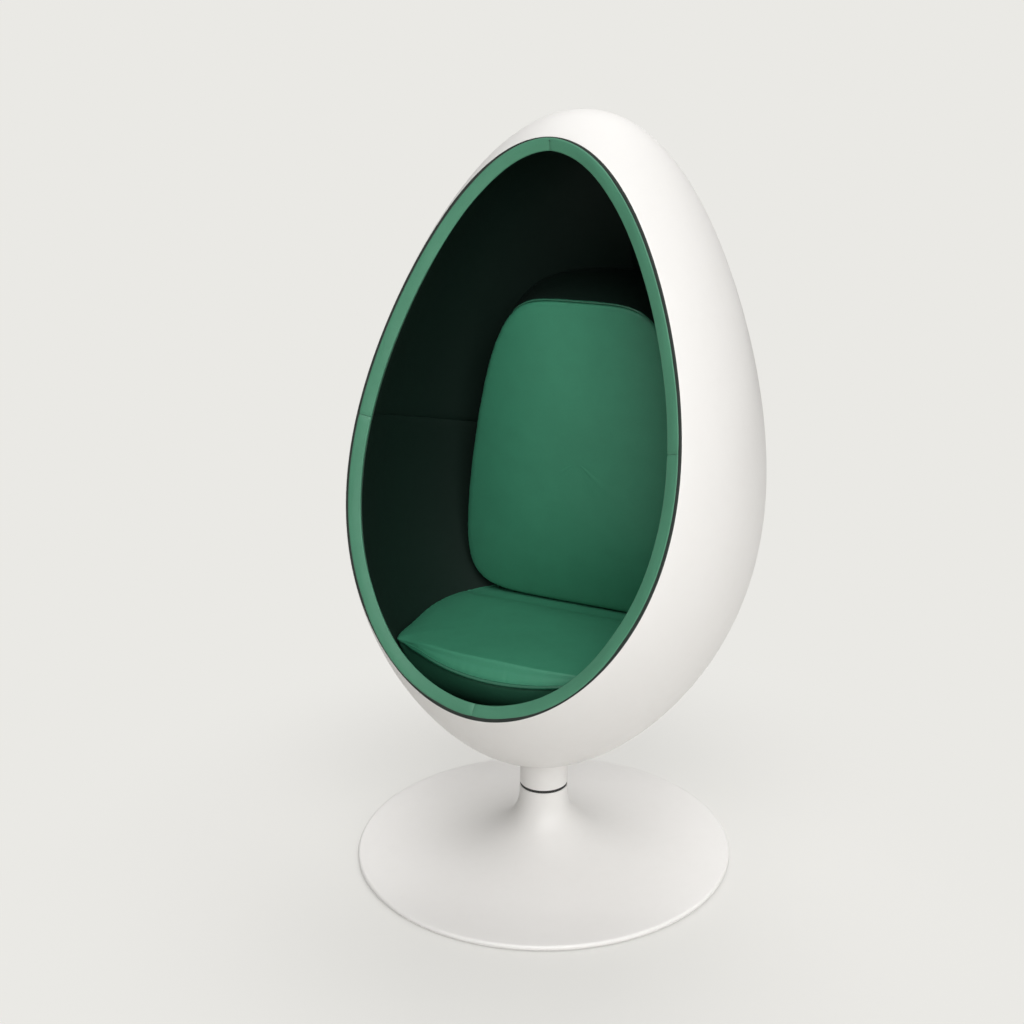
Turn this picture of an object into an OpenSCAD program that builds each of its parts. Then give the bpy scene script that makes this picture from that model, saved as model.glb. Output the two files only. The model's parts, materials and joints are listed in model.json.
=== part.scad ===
// Pod chair: an egg-shaped moulded shell, lined with padded vinyl, that holds a loose seat cushion and a
// loose back cushion and swivels on a weighted trumpet base.
// Millimetres. The origin is the centre of the base on the floor, +Z is up and the opening faces -Y.

/* [Shell] */
// Radius of the egg at its middle
shell_r = 352; // [335:1:370]
// Half the length of the egg along its axis
shell_half_l = 562; // [540:1:590]
// Shares that taper the egg's radius: first, second and third power of the place along the axis
egg_shares = [-0.19, -0.088, 0.12]; // [-0.3:0.001:0.3]
// Lean of the egg's axis to the back, in degrees
shell_lean = 11.5; // [9:0.5:13]
// Distance of the egg's middle behind the swivel's axis
shell_back = 60; // [50:1:70]
// Height of the shell's underside above the floor, on the swivel's axis
underside_z = 187; // [180:1:205]
// Thickness of the moulded shell
shell_wall = 4; // [3.5:0.5:6]
// Rounding of the shell's lip
lip_bevel = 1; // [0.5:0.1:1.5]

/* [Opening] */
// Distance of the opening's plane in front of the egg's axis, at the egg's middle
opening_front = 185; // [175:1:195]
// Lean of the opening's plane to the back, beyond the egg's own lean, in degrees
opening_lean = 5.1; // [4:0.1:6]
// Width of the rim, from the shell's outside to the padding's inner edge
rim_w = 28.6; // [26:0.2:32]
// Depth of the rim padding behind the lip
rim_depth = 30; // [26:1:36]
// How far the padding's face falls back from the lip to its inner edge
rim_fall = 3.3; // [2:0.1:5]
// Rounding of the rim padding's outer front edge
rim_outer_round = 3; // [2:0.5:4]
// Rounding of the rim padding's inner front edge
rim_inner_round = 2.5; // [1.5:0.5:4]
// Thickness of the edge trim's leg between shell and padding
trim_leg_t = 0.8; // [0.6:0.1:1.4]
// Depth of the edge trim's leg
trim_leg_depth = 13; // [10:0.5:14]
// Thickness of the edge trim's cap on the lip
trim_cap_t = 1; // [0.8:0.1:2]
// Thickness of the tack strip behind the rim padding
tack_t = 4.5; // [3:0.5:6]
// Depth of the tack strip
tack_depth = 14; // [10:1:15]
// Height of the side seams above the egg's middle, along the opening
side_seam_h = 21.5; // [10:0.5:40]
// Rise of the lining's side seams towards the back, out of square with the opening, in degrees
side_seam_rise = 3; // [0:0.5:5]

/* [Lining] */
// Thickness of the padded lining
lining_t = 22.5; // [19:0.5:26]

/* [Seat] */
// Height of the seat cushion's edge above the floor, where it meets the lining
seat_edge_z = 414; // [405:1:420]
// Rise of the seat cushion's crown over its edge
seat_crown = 9; // [6:1:14]
// Fall of the seat from its front to the back cushion, in degrees
seat_fall = 1.5; // [0:0.5:3]
// Lift of the seat's front edge over its sides
seat_front_lift = 7; // [4:1:10]
// Distance of the seat's front edge in front of the swivel's axis
seat_front = 176; // [165:1:180]
// How far the seat's front edge draws back at half its width
seat_bow = 36; // [25:1:45]
// Half width of the seat's front edge
seat_front_half_w = 220; // [205:1:230]
// How far the front border's lower seam stands before the front edge, at the middle
seat_border_out = 16; // [10:1:18]
// Drop from the seat's edge to the front border's lower seam, at the middle
seat_border_drop = 20; // [15:1:28]
// Half width at which the front border runs out
seat_border_half_w = 195; // [180:1:215]
// Height of the seat board's top above the floor
board_top_z = 322; // [315:1:330]
// Thickness of the seat board
board_t = 12; // [9:1:15]
// Width of each cleat that carries the board
cleat_w = 64; // [50:1:80]
// Height of each cleat
cleat_h = 30; // [22:1:34]
// Thickness of each cleat at its foot
cleat_t = 34; // [28:1:40]

/* [Back cushion] */
// Half width of the back cushion at its middle height
back_half_w = 221; // [210:1:230]
// Height of the back cushion's face
back_h = 562; // [540:1:575]
// Distance of the cushion's front seam behind the swivel's axis, at its lower edge
back_front_y = 158; // [150:1:170]
// Lean of the cushion's face to the front, in degrees
back_face_lean = 2.5; // [0:0.5:4]
// Rise of the crown before the front seam
back_crown = 24; // [15:1:30]
// How far the cushion's sides draw in between their seams
back_draw_in = 5; // [2:0.5:8]
// Slant of the cushion's sides out to the lining, in degrees
back_side_slant = 28; // [10:1:30]
// Slant of the cushion's top up to the lining, in degrees
back_top_slant = 11.5; // [5:0.5:13]
// Thickness of the fastening strips behind the cushion
strip_t = 2; // [1.5:0.1:2.5]
// Width of each fastening strip
strip_w = 50; // [30:1:60]
// Distance between the middles of the two strips
strip_spacing = 140; // [120:1:160]
// Length of each strip
strip_l = 260; // [200:1:300]

/* [Base] */
// Radius of the base at the floor
base_r = 336; // [325:1:350]
// Radius of the neck at its top
neck_r = 43; // [42.5:0.5:46]
// Height of the neck's top above the floor
neck_z = 127; // [120:1:130]
// Power of the trumpet's flare: the higher, the tighter it hugs neck and disc
flare_power = 2.8; // [2.2:0.1:3.4]
// Wall of the spun base shell
base_wall = 3.5; // [3:0.5:4.5]
// Thickness of the ballast plate
ballast_t = 6; // [5:0.5:8]
// Thickness of the felt floor pad
pad_t = 2.5; // [2:0.5:4]
// How far the floor pad stays inside the base's edge
pad_inset = 12; // [8:1:20]
// Distance of the base shell's screws from the axis
base_screw_r = 108; // [104:1:115]

/* [Swivel] */
// Outer radius of the column tube
column_r = 30; // [28:0.5:31]
// Wall of the column tube
column_wall = 5; // [4:0.5:6]
// Radius of the column's flange
column_flange_r = 66; // [60:1:72]
// Thickness of the column's flange
column_flange_t = 8; // [6:0.5:10]
// Radius of the spindle
spindle_r = 17.5; // [16:0.5:19]
// Length of each bush in the column tube
bush_l = 26; // [20:1:30]
// Thickness of the upper bush's flange
bush_flange_t = 3; // [2:0.5:4]
// Thickness of the thrust washer
thrust_t = 2; // [1.5:0.5:3]
// Height of the dark ring between neck and collar
ring_h = 5; // [4:0.5:6]
// How far the dark ring lies inside the neck's surface
ring_recess = 1; // [0.5:0.1:2]
// Outer radius of the collar over the spindle's flange
collar_r = 42.5; // [42:0.5:45]
// Wall of the collar
collar_wall = 3; // [2:0.5:3.5]
// Radius of the spindle's flange under the shell
flange_r = 37; // [35:0.5:38]
// Thickness of the spindle's flange
flange_t = 8; // [6:0.5:10]
// Thickness of the packer between flange and shell, on the axis
packer_t = 7; // [5:0.5:9]
// Distance of the mounting bolts from the axis
bolt_circle_r = 26; // [25.5:0.5:27]
// Radius of the mounting bolts
bolt_r = 4; // [3:0.5:5]
// Radius of the reinforcing plate inside the shell
plate_r = 85; // [70:1:100]
// Thickness of the reinforcing plate
plate_t = 5; // [4:0.5:7]

/* [Hidden] */
$fn = 96;

// Finishes
white = "#f1f0ec";
green = "#35745a";
dark_green = "#1c3a2d";
black = "#1b1c1b";
steel = "#9a9da0";
timber = "#b48a5a";
felt = "#4a4a48";

// One overrun serves all cuts
over = 10;
// Gap between pieces that are glued or laid on each other
lay_gap = 0.2;
// Gap between soft pieces and what they touch
soft_gap = 0.4;
// Clearance of a bolt in its hole, and of the spindle in its bushes
bolt_gap = 0.3;
run_gap = 0.05;
// Axial play of the spindle between its washers
play = 0.3;
// A block larger than the chair
big = 4 * shell_half_l;

// Outline of the egg
egg_steps = 48;
slope_step = 0.01;
function egg_taper(t) = 1 + egg_shares[0] * sin(t) + egg_shares[1] * pow(sin(t), 2) + egg_shares[2] * pow(sin(t), 3);
function egg_point(t) = [shell_r * cos(t) * egg_taper(t), shell_half_l * sin(t)];
function egg_normal(t) =
    let (step = egg_point(t + slope_step) - egg_point(t - slope_step))
    [step[1], -step[0]] / norm(step);
// Height and radius of points along the egg, drawn in by inset along its normal
function egg_table(inset) = [
    for (i = [0 : egg_steps])
        let (t = 180 * i / egg_steps - 90, p = egg_point(t) - inset * egg_normal(t))
        [p[1], abs(t) == 90 ? 0 : p[0]]
];

// The egg's frame has its origin at the egg's middle and +Z along the egg's axis
function into_egg(p, z_mid) =
    let (y = p[1] - shell_back, z = p[2] - z_mid)
    [p[0], y * cos(shell_lean) - z * sin(shell_lean), y * sin(shell_lean) + z * cos(shell_lean)];
// Whether a point of the chair's frame lies within an egg given by its table
function within(p, table, z_mid) =
    let (q = into_egg(p, z_mid))
    norm([q[0], q[1]]) < lookup(q[2], table);
// Last place from a towards b that lies within the egg, by halving
function last_within(a, b, table, z_mid, turns = 22) =
    turns == 0 ? a
    : let (m = (a + b) / 2)
      within(m, table, z_mid) ? last_within(m, b, table, z_mid, turns - 1)
                              : last_within(a, m, table, z_mid, turns - 1);

// Height of the egg's middle, from where its underside crosses the swivel's axis
outer_table = egg_table(0);
egg_drop = -last_within([0, 0, 0], [0, 0, -big], outer_table, 0)[2];
shell_z = underside_z + egg_drop;
lining_inset = shell_wall + lay_gap + lining_t;
lining_table = egg_table(lining_inset + soft_gap);
strip_table = egg_table(lining_inset + strip_t + soft_gap);

// Heights in the base and the swivel
ballast_z = pad_t;
ballast_top = ballast_z + ballast_t;
disc_top = ballast_top + lay_gap + base_wall;
edge_r = (disc_top - ballast_z) / 2;
flange_low_z = ballast_top + lay_gap;
column_low = flange_low_z + column_flange_t;
tube_top = neck_z - bush_flange_t - thrust_t;
thrust_z = tube_top + bush_flange_t;
shoulder_z = thrust_z + thrust_t + play;
shoulder_h = 8;
shoulder_step = 1;
shoulder_r = column_r - shoulder_step;
collar_z = neck_z + ring_h + play;
flange_z = underside_z - packer_t - flange_t;
bush_r = column_r - column_wall;
lower_bush_rise = 13;
lower_bush_z = column_low + lower_bush_rise;
washer_t = 3;
washer_r = 23.5;
washer_z = lower_bush_z - play - washer_t;
screw_r = 5;
screw_l = 24;
screw_head_r = 8.5;
screw_head_h = 6.4;

// Fasteners
bolt_count = 4;
bolt_head_r = 7.5;
bolt_head_h = 5.5;
nut_h = 6.5;
flat_washer_r = 8;
flat_washer_t = 1.6;
bolt_end = 3;
plate_dish_table = egg_table(shell_wall + lay_gap + plate_t);
function dish_z(y) = last_within([0, y, shell_z], [0, y, 0], plate_dish_table, shell_z)[2];
plate_top = max(dish_z(flange_r), dish_z(-flange_r)) + lay_gap;
boss_r = 8;
base_screw_count = 6;
base_screw_rad = 2.5;
base_screw_head_r = 5;
base_screw_head_h = 2.8;
base_screw_l = 18;
base_screw_depth = 1;
column_bolt_r = 4;
column_bolt_circle = 50;
column_bolt_l = 5;

// Board
inner_table = egg_table(shell_wall);
board_y = (last_within([0, shell_back, board_top_z], [0, -big, board_top_z], inner_table, shell_z)
    + last_within([0, shell_back, board_top_z], [0, big, board_top_z], inner_table, shell_z))[1] / 2;
cleat_z = board_top_z - board_t - cleat_h;
// Reach from the board's middle to the shell's wall at the cleats' foot, along a diagonal to way
function cleat_reach(way) =
    let (mid = [0, board_y, cleat_z], far = mid + shell_r * [1, way, 0])
    norm(last_within(mid, far, inner_table, shell_z) - mid);
cleat_in_r = min(cleat_reach(1), cleat_reach(-1)) - cleat_t;
board_screw_r = cleat_in_r + cleat_t / 2;
board_screw_rad = 2.5;
board_screw_head_r = 5;
board_screw_l = 34;
board_screw_depth = 1;

// Soft forms
pad_rings = 18;
cushion_sides = 40;

// Solids that most pieces are cut from
module egg(inset) {
    rotate_extrude() polygon([for (p = egg_table(inset)) [p[1], p[0]]]);
}

module egg_skin(outside, inside) {
    difference() {
        egg(outside);
        egg(inside);
    }
}

module in_shell() {
    translate([0, shell_back, shell_z]) rotate([-shell_lean, 0, 0]) children();
}

// The egg's frame turned to the opening's plane: +Y points in through the opening
module on_opening() {
    translate([0, -opening_front, 0]) rotate([-opening_lean, 0, 0]) children();
}

// All that lies from depth a to depth b behind the opening's plane
module slab(a, b) {
    on_opening() translate([-big, a, -big]) cube([2 * big, b - a, 2 * big]);
}

// A ring along the lip, between two insets of the egg and two depths
module lip_ring(outside, inside, a, b) {
    intersection() {
        egg_skin(outside, inside);
        slab(a, b);
    }
}

module tube(r_out, r_in, z, h) {
    translate([0, 0, z]) difference() {
        cylinder(r = r_out, h = h);
        translate([0, 0, -over]) cylinder(r = r_in, h = h + 2 * over);
    }
}

module around(count, radius, turn = 0) {
    for (i = [0 : count - 1]) rotate(turn + 360 * i / count) translate([radius, 0, 0]) children();
}

module hexagon(radius, z, h) {
    translate([0, 0, z]) cylinder(r = radius, h = h, $fn = 6);
}

// A closed form through rings of points, with a fan to a middle point at each end
module loft(rings, first, last) {
    n = len(rings[0]);
    m = len(rings);
    points = concat([for (ring = rings) each ring], [first, last]);
    polyhedron(points = points, faces = concat(
        ring_faces(m, n),
        [for (j = [0 : n - 1]) [m * n, (j + 1) % n, j]],
        [for (j = [0 : n - 1]) [m * n + 1, (m - 1) * n + j, (m - 1) * n + (j + 1) % n]]
    ));
}

// A closed form through flat rings of points, the first and last of which are its ends
module sweep(rings) {
    n = len(rings[0]);
    m = len(rings);
    polyhedron(points = [for (ring = rings) each ring], faces = concat(
        ring_faces(m, n),
        [[for (j = [0 : n - 1]) n - 1 - j]],
        [[for (j = [0 : n - 1]) (m - 1) * n + j]]
    ));
}

// Triangles between m rings of n points
function ring_faces(m, n) = [
    for (i = [0 : m - 2], j = [0 : n - 1])
        let (a = i * n + j, b = i * n + (j + 1) % n)
        each [[a, b, b + n], [a, b + n, a + n]]
];

// Base
flare_steps = 28;
// Trumpet outline from the neck's top to the disc's edge
function flare(r_top, z_top, r_low, z_low) = [
    for (i = [0 : flare_steps])
        let (t = 90 * i / flare_steps, k = 2 / flare_power)
        [r_top + (r_low - r_top) * (1 - pow(cos(t), k)), z_low + (z_top - z_low) * (1 - pow(sin(t), k))]
];
neck_lip_h = 12;
neck_bore = column_r + bolt_gap;
inner_neck_r = neck_r - 2 * base_wall;

module base_outline() {
    edge_steps = 8;
    polygon(concat(
        flare(neck_r, neck_z, base_r - edge_r, disc_top),
        [for (i = [1 : edge_steps - 1])
            let (a = 90 - 180 * i / edge_steps)
            [base_r - edge_r + edge_r * cos(a), disc_top - edge_r + edge_r * sin(a)]],
        [[base_r - edge_r, ballast_z], [0, ballast_z], [0, neck_z]]
    ));
}

module base_hollow() {
    polygon(concat(
        flare(inner_neck_r, neck_z - neck_lip_h, base_r - 2 * edge_r, ballast_top + lay_gap),
        [[base_r - 2 * edge_r, ballast_z - over], [0, ballast_z - over], [0, neck_z - neck_lip_h]]
    ));
}

module base_shell() {
    color(white) difference() {
        union() {
            difference() {
                rotate_extrude() base_outline();
                rotate_extrude() base_hollow();
            }
            intersection() {
                around(base_screw_count, base_screw_r)
                    translate([0, 0, flange_low_z]) cylinder(r = boss_r, h = neck_z);
                rotate_extrude() base_outline();
            }
        }
        translate([0, 0, neck_z - neck_lip_h - over]) cylinder(r = neck_bore, h = neck_z);
        around(base_screw_count, base_screw_r)
            cylinder(r = base_screw_rad + run_gap, h = ballast_z + base_screw_l + base_screw_depth);
    }
}

ballast_bore = 20;

module ballast_plate() {
    color(steel) difference() {
        tube(base_r - 2 * edge_r - lay_gap, ballast_bore, ballast_z, ballast_t);
        around(base_screw_count, base_screw_r) {
            translate([0, 0, -over]) cylinder(r = base_screw_rad + bolt_gap, h = ballast_top + 2 * over);
            screw_head(base_screw_head_r + bolt_gap, base_screw_rad, base_screw_head_h);
        }
        around(bolt_count, column_bolt_circle, 45)
            translate([0, 0, ballast_top - column_bolt_l - base_screw_depth / 2])
                cylinder(r = column_bolt_r + run_gap, h = ballast_t);
    }
}

// A countersunk head that opens downwards at the ballast plate's underside
module screw_head(r_wide, r_thin, h) {
    translate([0, 0, ballast_z]) cylinder(r1 = r_wide, r2 = r_thin, h = h);
}

module floor_pad() {
    color(felt) cylinder(r = base_r - pad_inset, h = pad_t);
}

module base_screws() {
    color(steel) around(base_screw_count, base_screw_r) {
        screw_head(base_screw_head_r, base_screw_rad, base_screw_head_h);
        translate([0, 0, ballast_z]) cylinder(r = base_screw_rad, h = base_screw_l);
    }
}

weld = 4;

module column() {
    color(steel) difference() {
        union() {
            translate([0, 0, flange_low_z]) cylinder(r = column_flange_r, h = column_flange_t);
            translate([0, 0, flange_low_z]) cylinder(r = column_r, h = tube_top - flange_low_z);
            translate([0, 0, column_low]) cylinder(r1 = column_r + weld, r2 = column_r, h = weld);
        }
        translate([0, 0, -over]) cylinder(r = bush_r, h = neck_z + 2 * over);
        around(bolt_count, column_bolt_circle, 45)
            translate([0, 0, -over]) cylinder(r = column_bolt_r + bolt_gap, h = neck_z);
    }
}

module column_bolts() {
    color(steel) around(bolt_count, column_bolt_circle, 45) {
        hexagon(bolt_head_r, column_low, bolt_head_h);
        translate([0, 0, ballast_top - column_bolt_l])
            cylinder(r = column_bolt_r, h = column_low - ballast_top + column_bolt_l + bolt_head_h / 2);
    }
}

module lower_bush() {
    color(black) tube(bush_r, spindle_r + run_gap, lower_bush_z, bush_l);
}

module upper_bush() {
    color(black) union() {
        tube(bush_r, spindle_r + run_gap, tube_top - bush_l, bush_l + bush_flange_t);
        tube(shoulder_r, spindle_r + run_gap, tube_top, bush_flange_t);
    }
}

module thrust_washer() {
    color(steel) tube(shoulder_r, spindle_r + bolt_gap, thrust_z, thrust_t);
}

// Seal ring that fills the gap between the fixed neck and the turning collar
module dust_ring() {
    color(black) tube(neck_r - ring_recess, neck_bore, neck_z, ring_h);
}

// Swivel
web_count = 4;
web_t = 5;
web_h = 16;

module spindle() {
    shaft_low = washer_z + washer_t;
    color(steel) difference() {
        union() {
            translate([0, 0, shaft_low]) cylinder(r = spindle_r, h = flange_z - shaft_low + flange_t / 2);
            translate([0, 0, shoulder_z]) cylinder(r = shoulder_r, h = shoulder_h);
            translate([0, 0, flange_z]) cylinder(r = flange_r, h = flange_t);
            intersection() {
                around(web_count, 0, 45)
                    translate([0, -web_t / 2, flange_z - web_h]) cube([flange_r, web_t, web_h + flange_t / 2]);
                translate([0, 0, flange_z - web_h]) cylinder(r1 = spindle_r, r2 = flange_r, h = web_h);
            }
        }
        around(bolt_count, bolt_circle_r)
            translate([0, 0, flange_z - over]) cylinder(r = bolt_r + bolt_gap, h = flange_t + 2 * over);
        translate([0, 0, shaft_low - over]) cylinder(r = screw_r + run_gap, h = screw_l + over + bolt_end);
    }
}

module retaining_washer() {
    color(steel) tube(washer_r, screw_r + bolt_gap, washer_z, washer_t);
}

module retaining_screw() {
    color(steel) {
        hexagon(screw_head_r, washer_z - screw_head_h, screw_head_h);
        translate([0, 0, washer_z - screw_head_h / 2])
            cylinder(r = screw_r, h = screw_head_h / 2 + washer_t + screw_l);
    }
}

// Dished on top to fit the shell's curve
module shell_packer() {
    color(black) difference() {
        translate([0, 0, flange_z + flange_t]) cylinder(r = flange_r - lip_bevel, h = 2 * packer_t);
        in_shell() egg(-lay_gap);
        bolt_holes();
    }
}

module neck_collar() {
    color(white) difference() {
        translate([0, 0, collar_z]) cylinder(r = collar_r, h = underside_z - collar_z + over);
        translate([0, 0, collar_z - over]) cylinder(r = collar_r - collar_wall, h = underside_z);
        in_shell() egg(-lay_gap);
    }
}

module bolt_holes() {
    around(bolt_count, bolt_circle_r)
        translate([0, 0, flange_z - over]) cylinder(r = bolt_r + bolt_gap, h = plate_top);
}

// Dished plate inside the shell, with a flat pad on top for the nuts
module reinforcing_plate() {
    color(steel) difference() {
        union() {
            intersection() {
                in_shell() egg_skin(shell_wall + lay_gap, shell_wall + lay_gap + plate_t);
                cylinder(r = plate_r, h = shell_z);
            }
            intersection() {
                in_shell() egg(shell_wall + lay_gap);
                cylinder(r = flange_r, h = plate_top);
            }
        }
        bolt_holes();
    }
}

module mounting_bolts() {
    color(steel) around(bolt_count, bolt_circle_r) {
        hexagon(bolt_head_r, flange_z - bolt_head_h, bolt_head_h);
        translate([0, 0, flange_z - bolt_head_h / 2])
            cylinder(r = bolt_r, h = plate_top - flange_z + bolt_head_h / 2 + flat_washer_t + nut_h + bolt_end);
    }
}

module mounting_washers() {
    color(steel) around(bolt_count, bolt_circle_r) tube(flat_washer_r, bolt_r + run_gap, plate_top, flat_washer_t);
}

module mounting_nuts() {
    nut_z = plate_top + flat_washer_t;
    color(steel) around(bolt_count, bolt_circle_r) difference() {
        hexagon(bolt_head_r, nut_z, nut_h);
        translate([0, 0, nut_z - over]) cylinder(r = bolt_r + run_gap, h = nut_h + 2 * over);
    }
}

// Shell
module outer_shell() {
    color(white) difference() {
        in_shell() lip_ring(0, shell_wall, 0, big);
        in_shell() difference() {
            slab(-over, lip_bevel);
            egg(lip_bevel);
        }
        bolt_holes();
    }
}

trim_inset = shell_wall + lay_gap / 2;
rim_inset = trim_inset + trim_leg_t + lay_gap;

module edge_trim() {
    color(black) in_shell() union() {
        lip_ring(lip_bevel / 2, trim_inset + trim_leg_t, -trim_cap_t, 0);
        lip_ring(trim_inset, trim_inset + trim_leg_t, -trim_cap_t, trim_leg_depth);
    }
}

tack_front = rim_depth - tack_depth;

module tack_strip() {
    color(black) in_shell() lip_ring(shell_wall + lay_gap, shell_wall + tack_t, tack_front, rim_depth);
}

// Place on the opening's plane at height h and depth b: distance along Y and Z of the egg's frame
function opening_place(h, b) = [
    h * sin(opening_lean) + b * cos(opening_lean) - opening_front,
    h * cos(opening_lean) - b * sin(opening_lean)
];
function opening_x(h, b, table) =
    let (q = opening_place(h, b))
    sqrt(max(0, pow(lookup(q[1], table), 2) - q[0] * q[0]));
// Last height from a towards b at which the egg still crosses the plane, by halving
function opening_end(a, b, depth, table, turns = 22) =
    turns == 0 ? a
    : let (m = (a + b) / 2)
      opening_x(m, depth, table) > 0 ? opening_end(m, b, depth, table, turns - 1)
                                     : opening_end(a, m, depth, table, turns - 1);

// Section of the rim padding, once round. Each point names a curve, where the egg at an inset crosses the
// plane at a depth, then how far the point lies in from that curve and how deep
tack_side = shell_wall + tack_t + soft_gap;
face_turn = 270 + atan2(rim_fall, rim_w - rim_inner_round - rim_inset - rim_outer_round);
round_steps = 3;
function rim_arc(inset, radius, offset, depth, from, to) = [
    for (i = [0 : round_steps])
        let (a = from + (to - from) * i / round_steps)
        [inset, 0, offset + radius * cos(a), depth + radius * sin(a)]
];
function rim_point(inset, depth) = [inset, depth, 0, depth];
rim_section = concat(
    [rim_point(rim_inset, rim_outer_round)],
    rim_arc(rim_inset, rim_outer_round, rim_outer_round, rim_outer_round, 225, face_turn),
    rim_arc(0, rim_inner_round, rim_w - rim_inner_round, rim_fall + rim_inner_round, face_turn, 360),
    [rim_point(lining_inset, rim_depth), rim_point(tack_side, rim_depth),
     rim_point(tack_side, tack_front - soft_gap), rim_point(rim_inset, tack_front - soft_gap)]
);

// Right-hand padding from the side seam to the top seam (way 1) or to the bottom seam (way -1)
module rim_pad(way) {
    tables = [for (p = rim_section) egg_table(p[0])];
    start = side_seam_h + way * soft_gap;
    ends = [for (i = [0 : len(rim_section) - 1])
        opening_end(side_seam_h, way * shell_half_l, rim_section[i][1], tables[i])];
    function on_curve(i, k) =
        let (h = start + (ends[i] - start) * sin(90 * k / pad_rings), x = opening_x(h, rim_section[i][1], tables[i]))
        [k > pad_rings ? -x : x, h];
    function inwards(i, k) =
        let (t = on_curve(i, k + 1) - on_curve(i, k - 1))
        k == 0 ? [-1, 0] : way * [-t[1], t[0]] / norm(t);
    function place(i, k) =
        let (p = on_curve(i, k) + rim_section[i][2] * inwards(i, k), q = opening_place(p[1], rim_section[i][3]))
        [k == pad_rings ? soft_gap : p[0], q[0], q[1]];
    n = len(rim_section);
    order = way > 0 ? [for (j = [0 : n - 1]) j] : [for (j = [0 : n - 1]) n - 1 - j];
    color(green) in_shell() sweep([for (k = [0 : pad_rings]) [for (j = order) place(j, k)]]);
}

module left() {
    mirror([1, 0, 0]) children();
}

module rim_pad_upper_right() { rim_pad(1); }
module rim_pad_upper_left() { left() rim_pad(1); }
module rim_pad_lower_right() { rim_pad(-1); }
module rim_pad_lower_left() { left() rim_pad(-1); }

// Lining
// Right-hand panel above (way 1) or below (way -1) the side seam
module lining(way) {
    color(dark_green) intersection() {
        in_shell() lip_ring(shell_wall + lay_gap, lining_inset, rim_depth + soft_gap, big);
        in_shell() on_opening() translate([0, 0, side_seam_h]) rotate([side_seam_rise, 0, 0])
            translate([soft_gap / 2, -big, way > 0 ? soft_gap / 2 : -big])
                cube([big, 2 * big, big - soft_gap / 2]);
        translate([0, -big, board_top_z + soft_gap]) cube([big, 2 * big, big]);
    }
}

module lining_upper_right() { lining(1); }
module lining_upper_left() { left() lining(1); }
module lining_lower_right() { lining(-1); }
module lining_lower_left() { left() lining(-1); }

// Seat
module cleat_places() {
    translate([0, board_y, 0]) around(bolt_count, 0, 45) children();
}

module seat_board() {
    color(timber) difference() {
        intersection() {
            in_shell() egg(shell_wall + lip_bevel);
            in_shell() slab(rim_depth + soft_gap, big);
            translate([-big, -big, board_top_z - board_t]) cube([2 * big, 2 * big, board_t]);
        }
        cleat_places() translate([board_screw_r, 0, board_top_z - 2 * board_t])
            cylinder(r = board_screw_rad + bolt_gap, h = 3 * board_t);
        cleat_places() translate([board_screw_r, 0, board_top_z - board_screw_head_r + board_screw_rad])
            cylinder(r1 = board_screw_rad + bolt_gap, r2 = board_screw_head_r + bolt_gap,
                     h = board_screw_head_r - board_screw_rad);
    }
}

// Timber blocks glued to the shell's wall under the board
module board_cleats() {
    color(timber) difference() {
        intersection() {
            in_shell() egg(shell_wall + lay_gap);
            cleat_places() translate([cleat_in_r, -cleat_w / 2, cleat_z]) cube([shell_r, cleat_w, cleat_h]);
        }
        cleat_places() translate([board_screw_r, 0, board_top_z - board_screw_l - board_screw_depth])
            cylinder(r = board_screw_rad + run_gap, h = board_screw_l);
    }
}

module board_screws() {
    head_h = board_screw_head_r - board_screw_rad;
    color(steel) cleat_places() translate([board_screw_r, 0, board_top_z]) {
        translate([0, 0, -head_h]) cylinder(r1 = board_screw_rad, r2 = board_screw_head_r, h = head_h);
        translate([0, 0, -board_screw_l]) cylinder(r = board_screw_rad, h = board_screw_l - head_h / 2);
    }
}

// Seat cushion: each row of shares gives a ring's reach to the back cushion and to the lining, its crown,
// its place between the front border's seams, how far it lies down to the floor and how far it stands out
seat_rows_shares = [
    [0.4, 0, 0.94, 0, 0, 0], [0.72, 0, 0.66, 0, 0, 0], [0.9, 0, 0.26, 0, 0, 0], [0.98, 0, 0.04, 0, 0, 0],
    [0, 1, 0, 0, 0, 0], [0, 1, 0, 1, 0, 1], [0, 1, 0, 1, 0.25, 0.8], [0, 1, 0, 1, 0.55, 0],
    [0, 1, 0, 1, 0.85, -1.2], [0, 0.94, 0, 1, 1, -2.2], [0, 0.5, 0, 1, 1, -2.2]
];
seat_bottom_z = board_top_z + soft_gap;
seat_fold_y = back_front_y - back_crown - soft_gap;
seat_middle_y = (back_front_y - back_crown - seat_front) / 2;

// Share of the front border's height that is left at a place across the seat
function border_share(x) = max(0, 1 - pow(x / seat_border_half_w, 2));
// A point of a row, lifted by the seat's fall
function risen(p, row) = p + [0, 0, max(0, seat_fold_y - p[1]) * tan(seat_fall) * (1 - row[4])];
// Whether a row's point lies in the lining and behind the seat's bowed front
function in_seat(p, row) =
    within(risen(p, row), lining_table, shell_z)
    && p[1] > seat_bow * pow(p[0] / seat_front_half_w, 2) - seat_front
        - seat_border_out * (row[5] > 0 ? row[5] * border_share(p[0]) : row[5]);
function seat_reach(a, b, row, turns = 20) =
    turns == 0 ? a
    : let (m = (a + b) / 2)
      in_seat(m, row) ? seat_reach(m, b, row, turns - 1) : seat_reach(a, m, row, turns - 1);
// Height of a row of the seat, at a place across it
function seat_z(row, x) =
    let (seam = seat_edge_z + seat_crown * row[2] - seat_border_drop * row[3] * border_share(x))
    seam + (seat_bottom_z - seam) * row[4];

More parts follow.
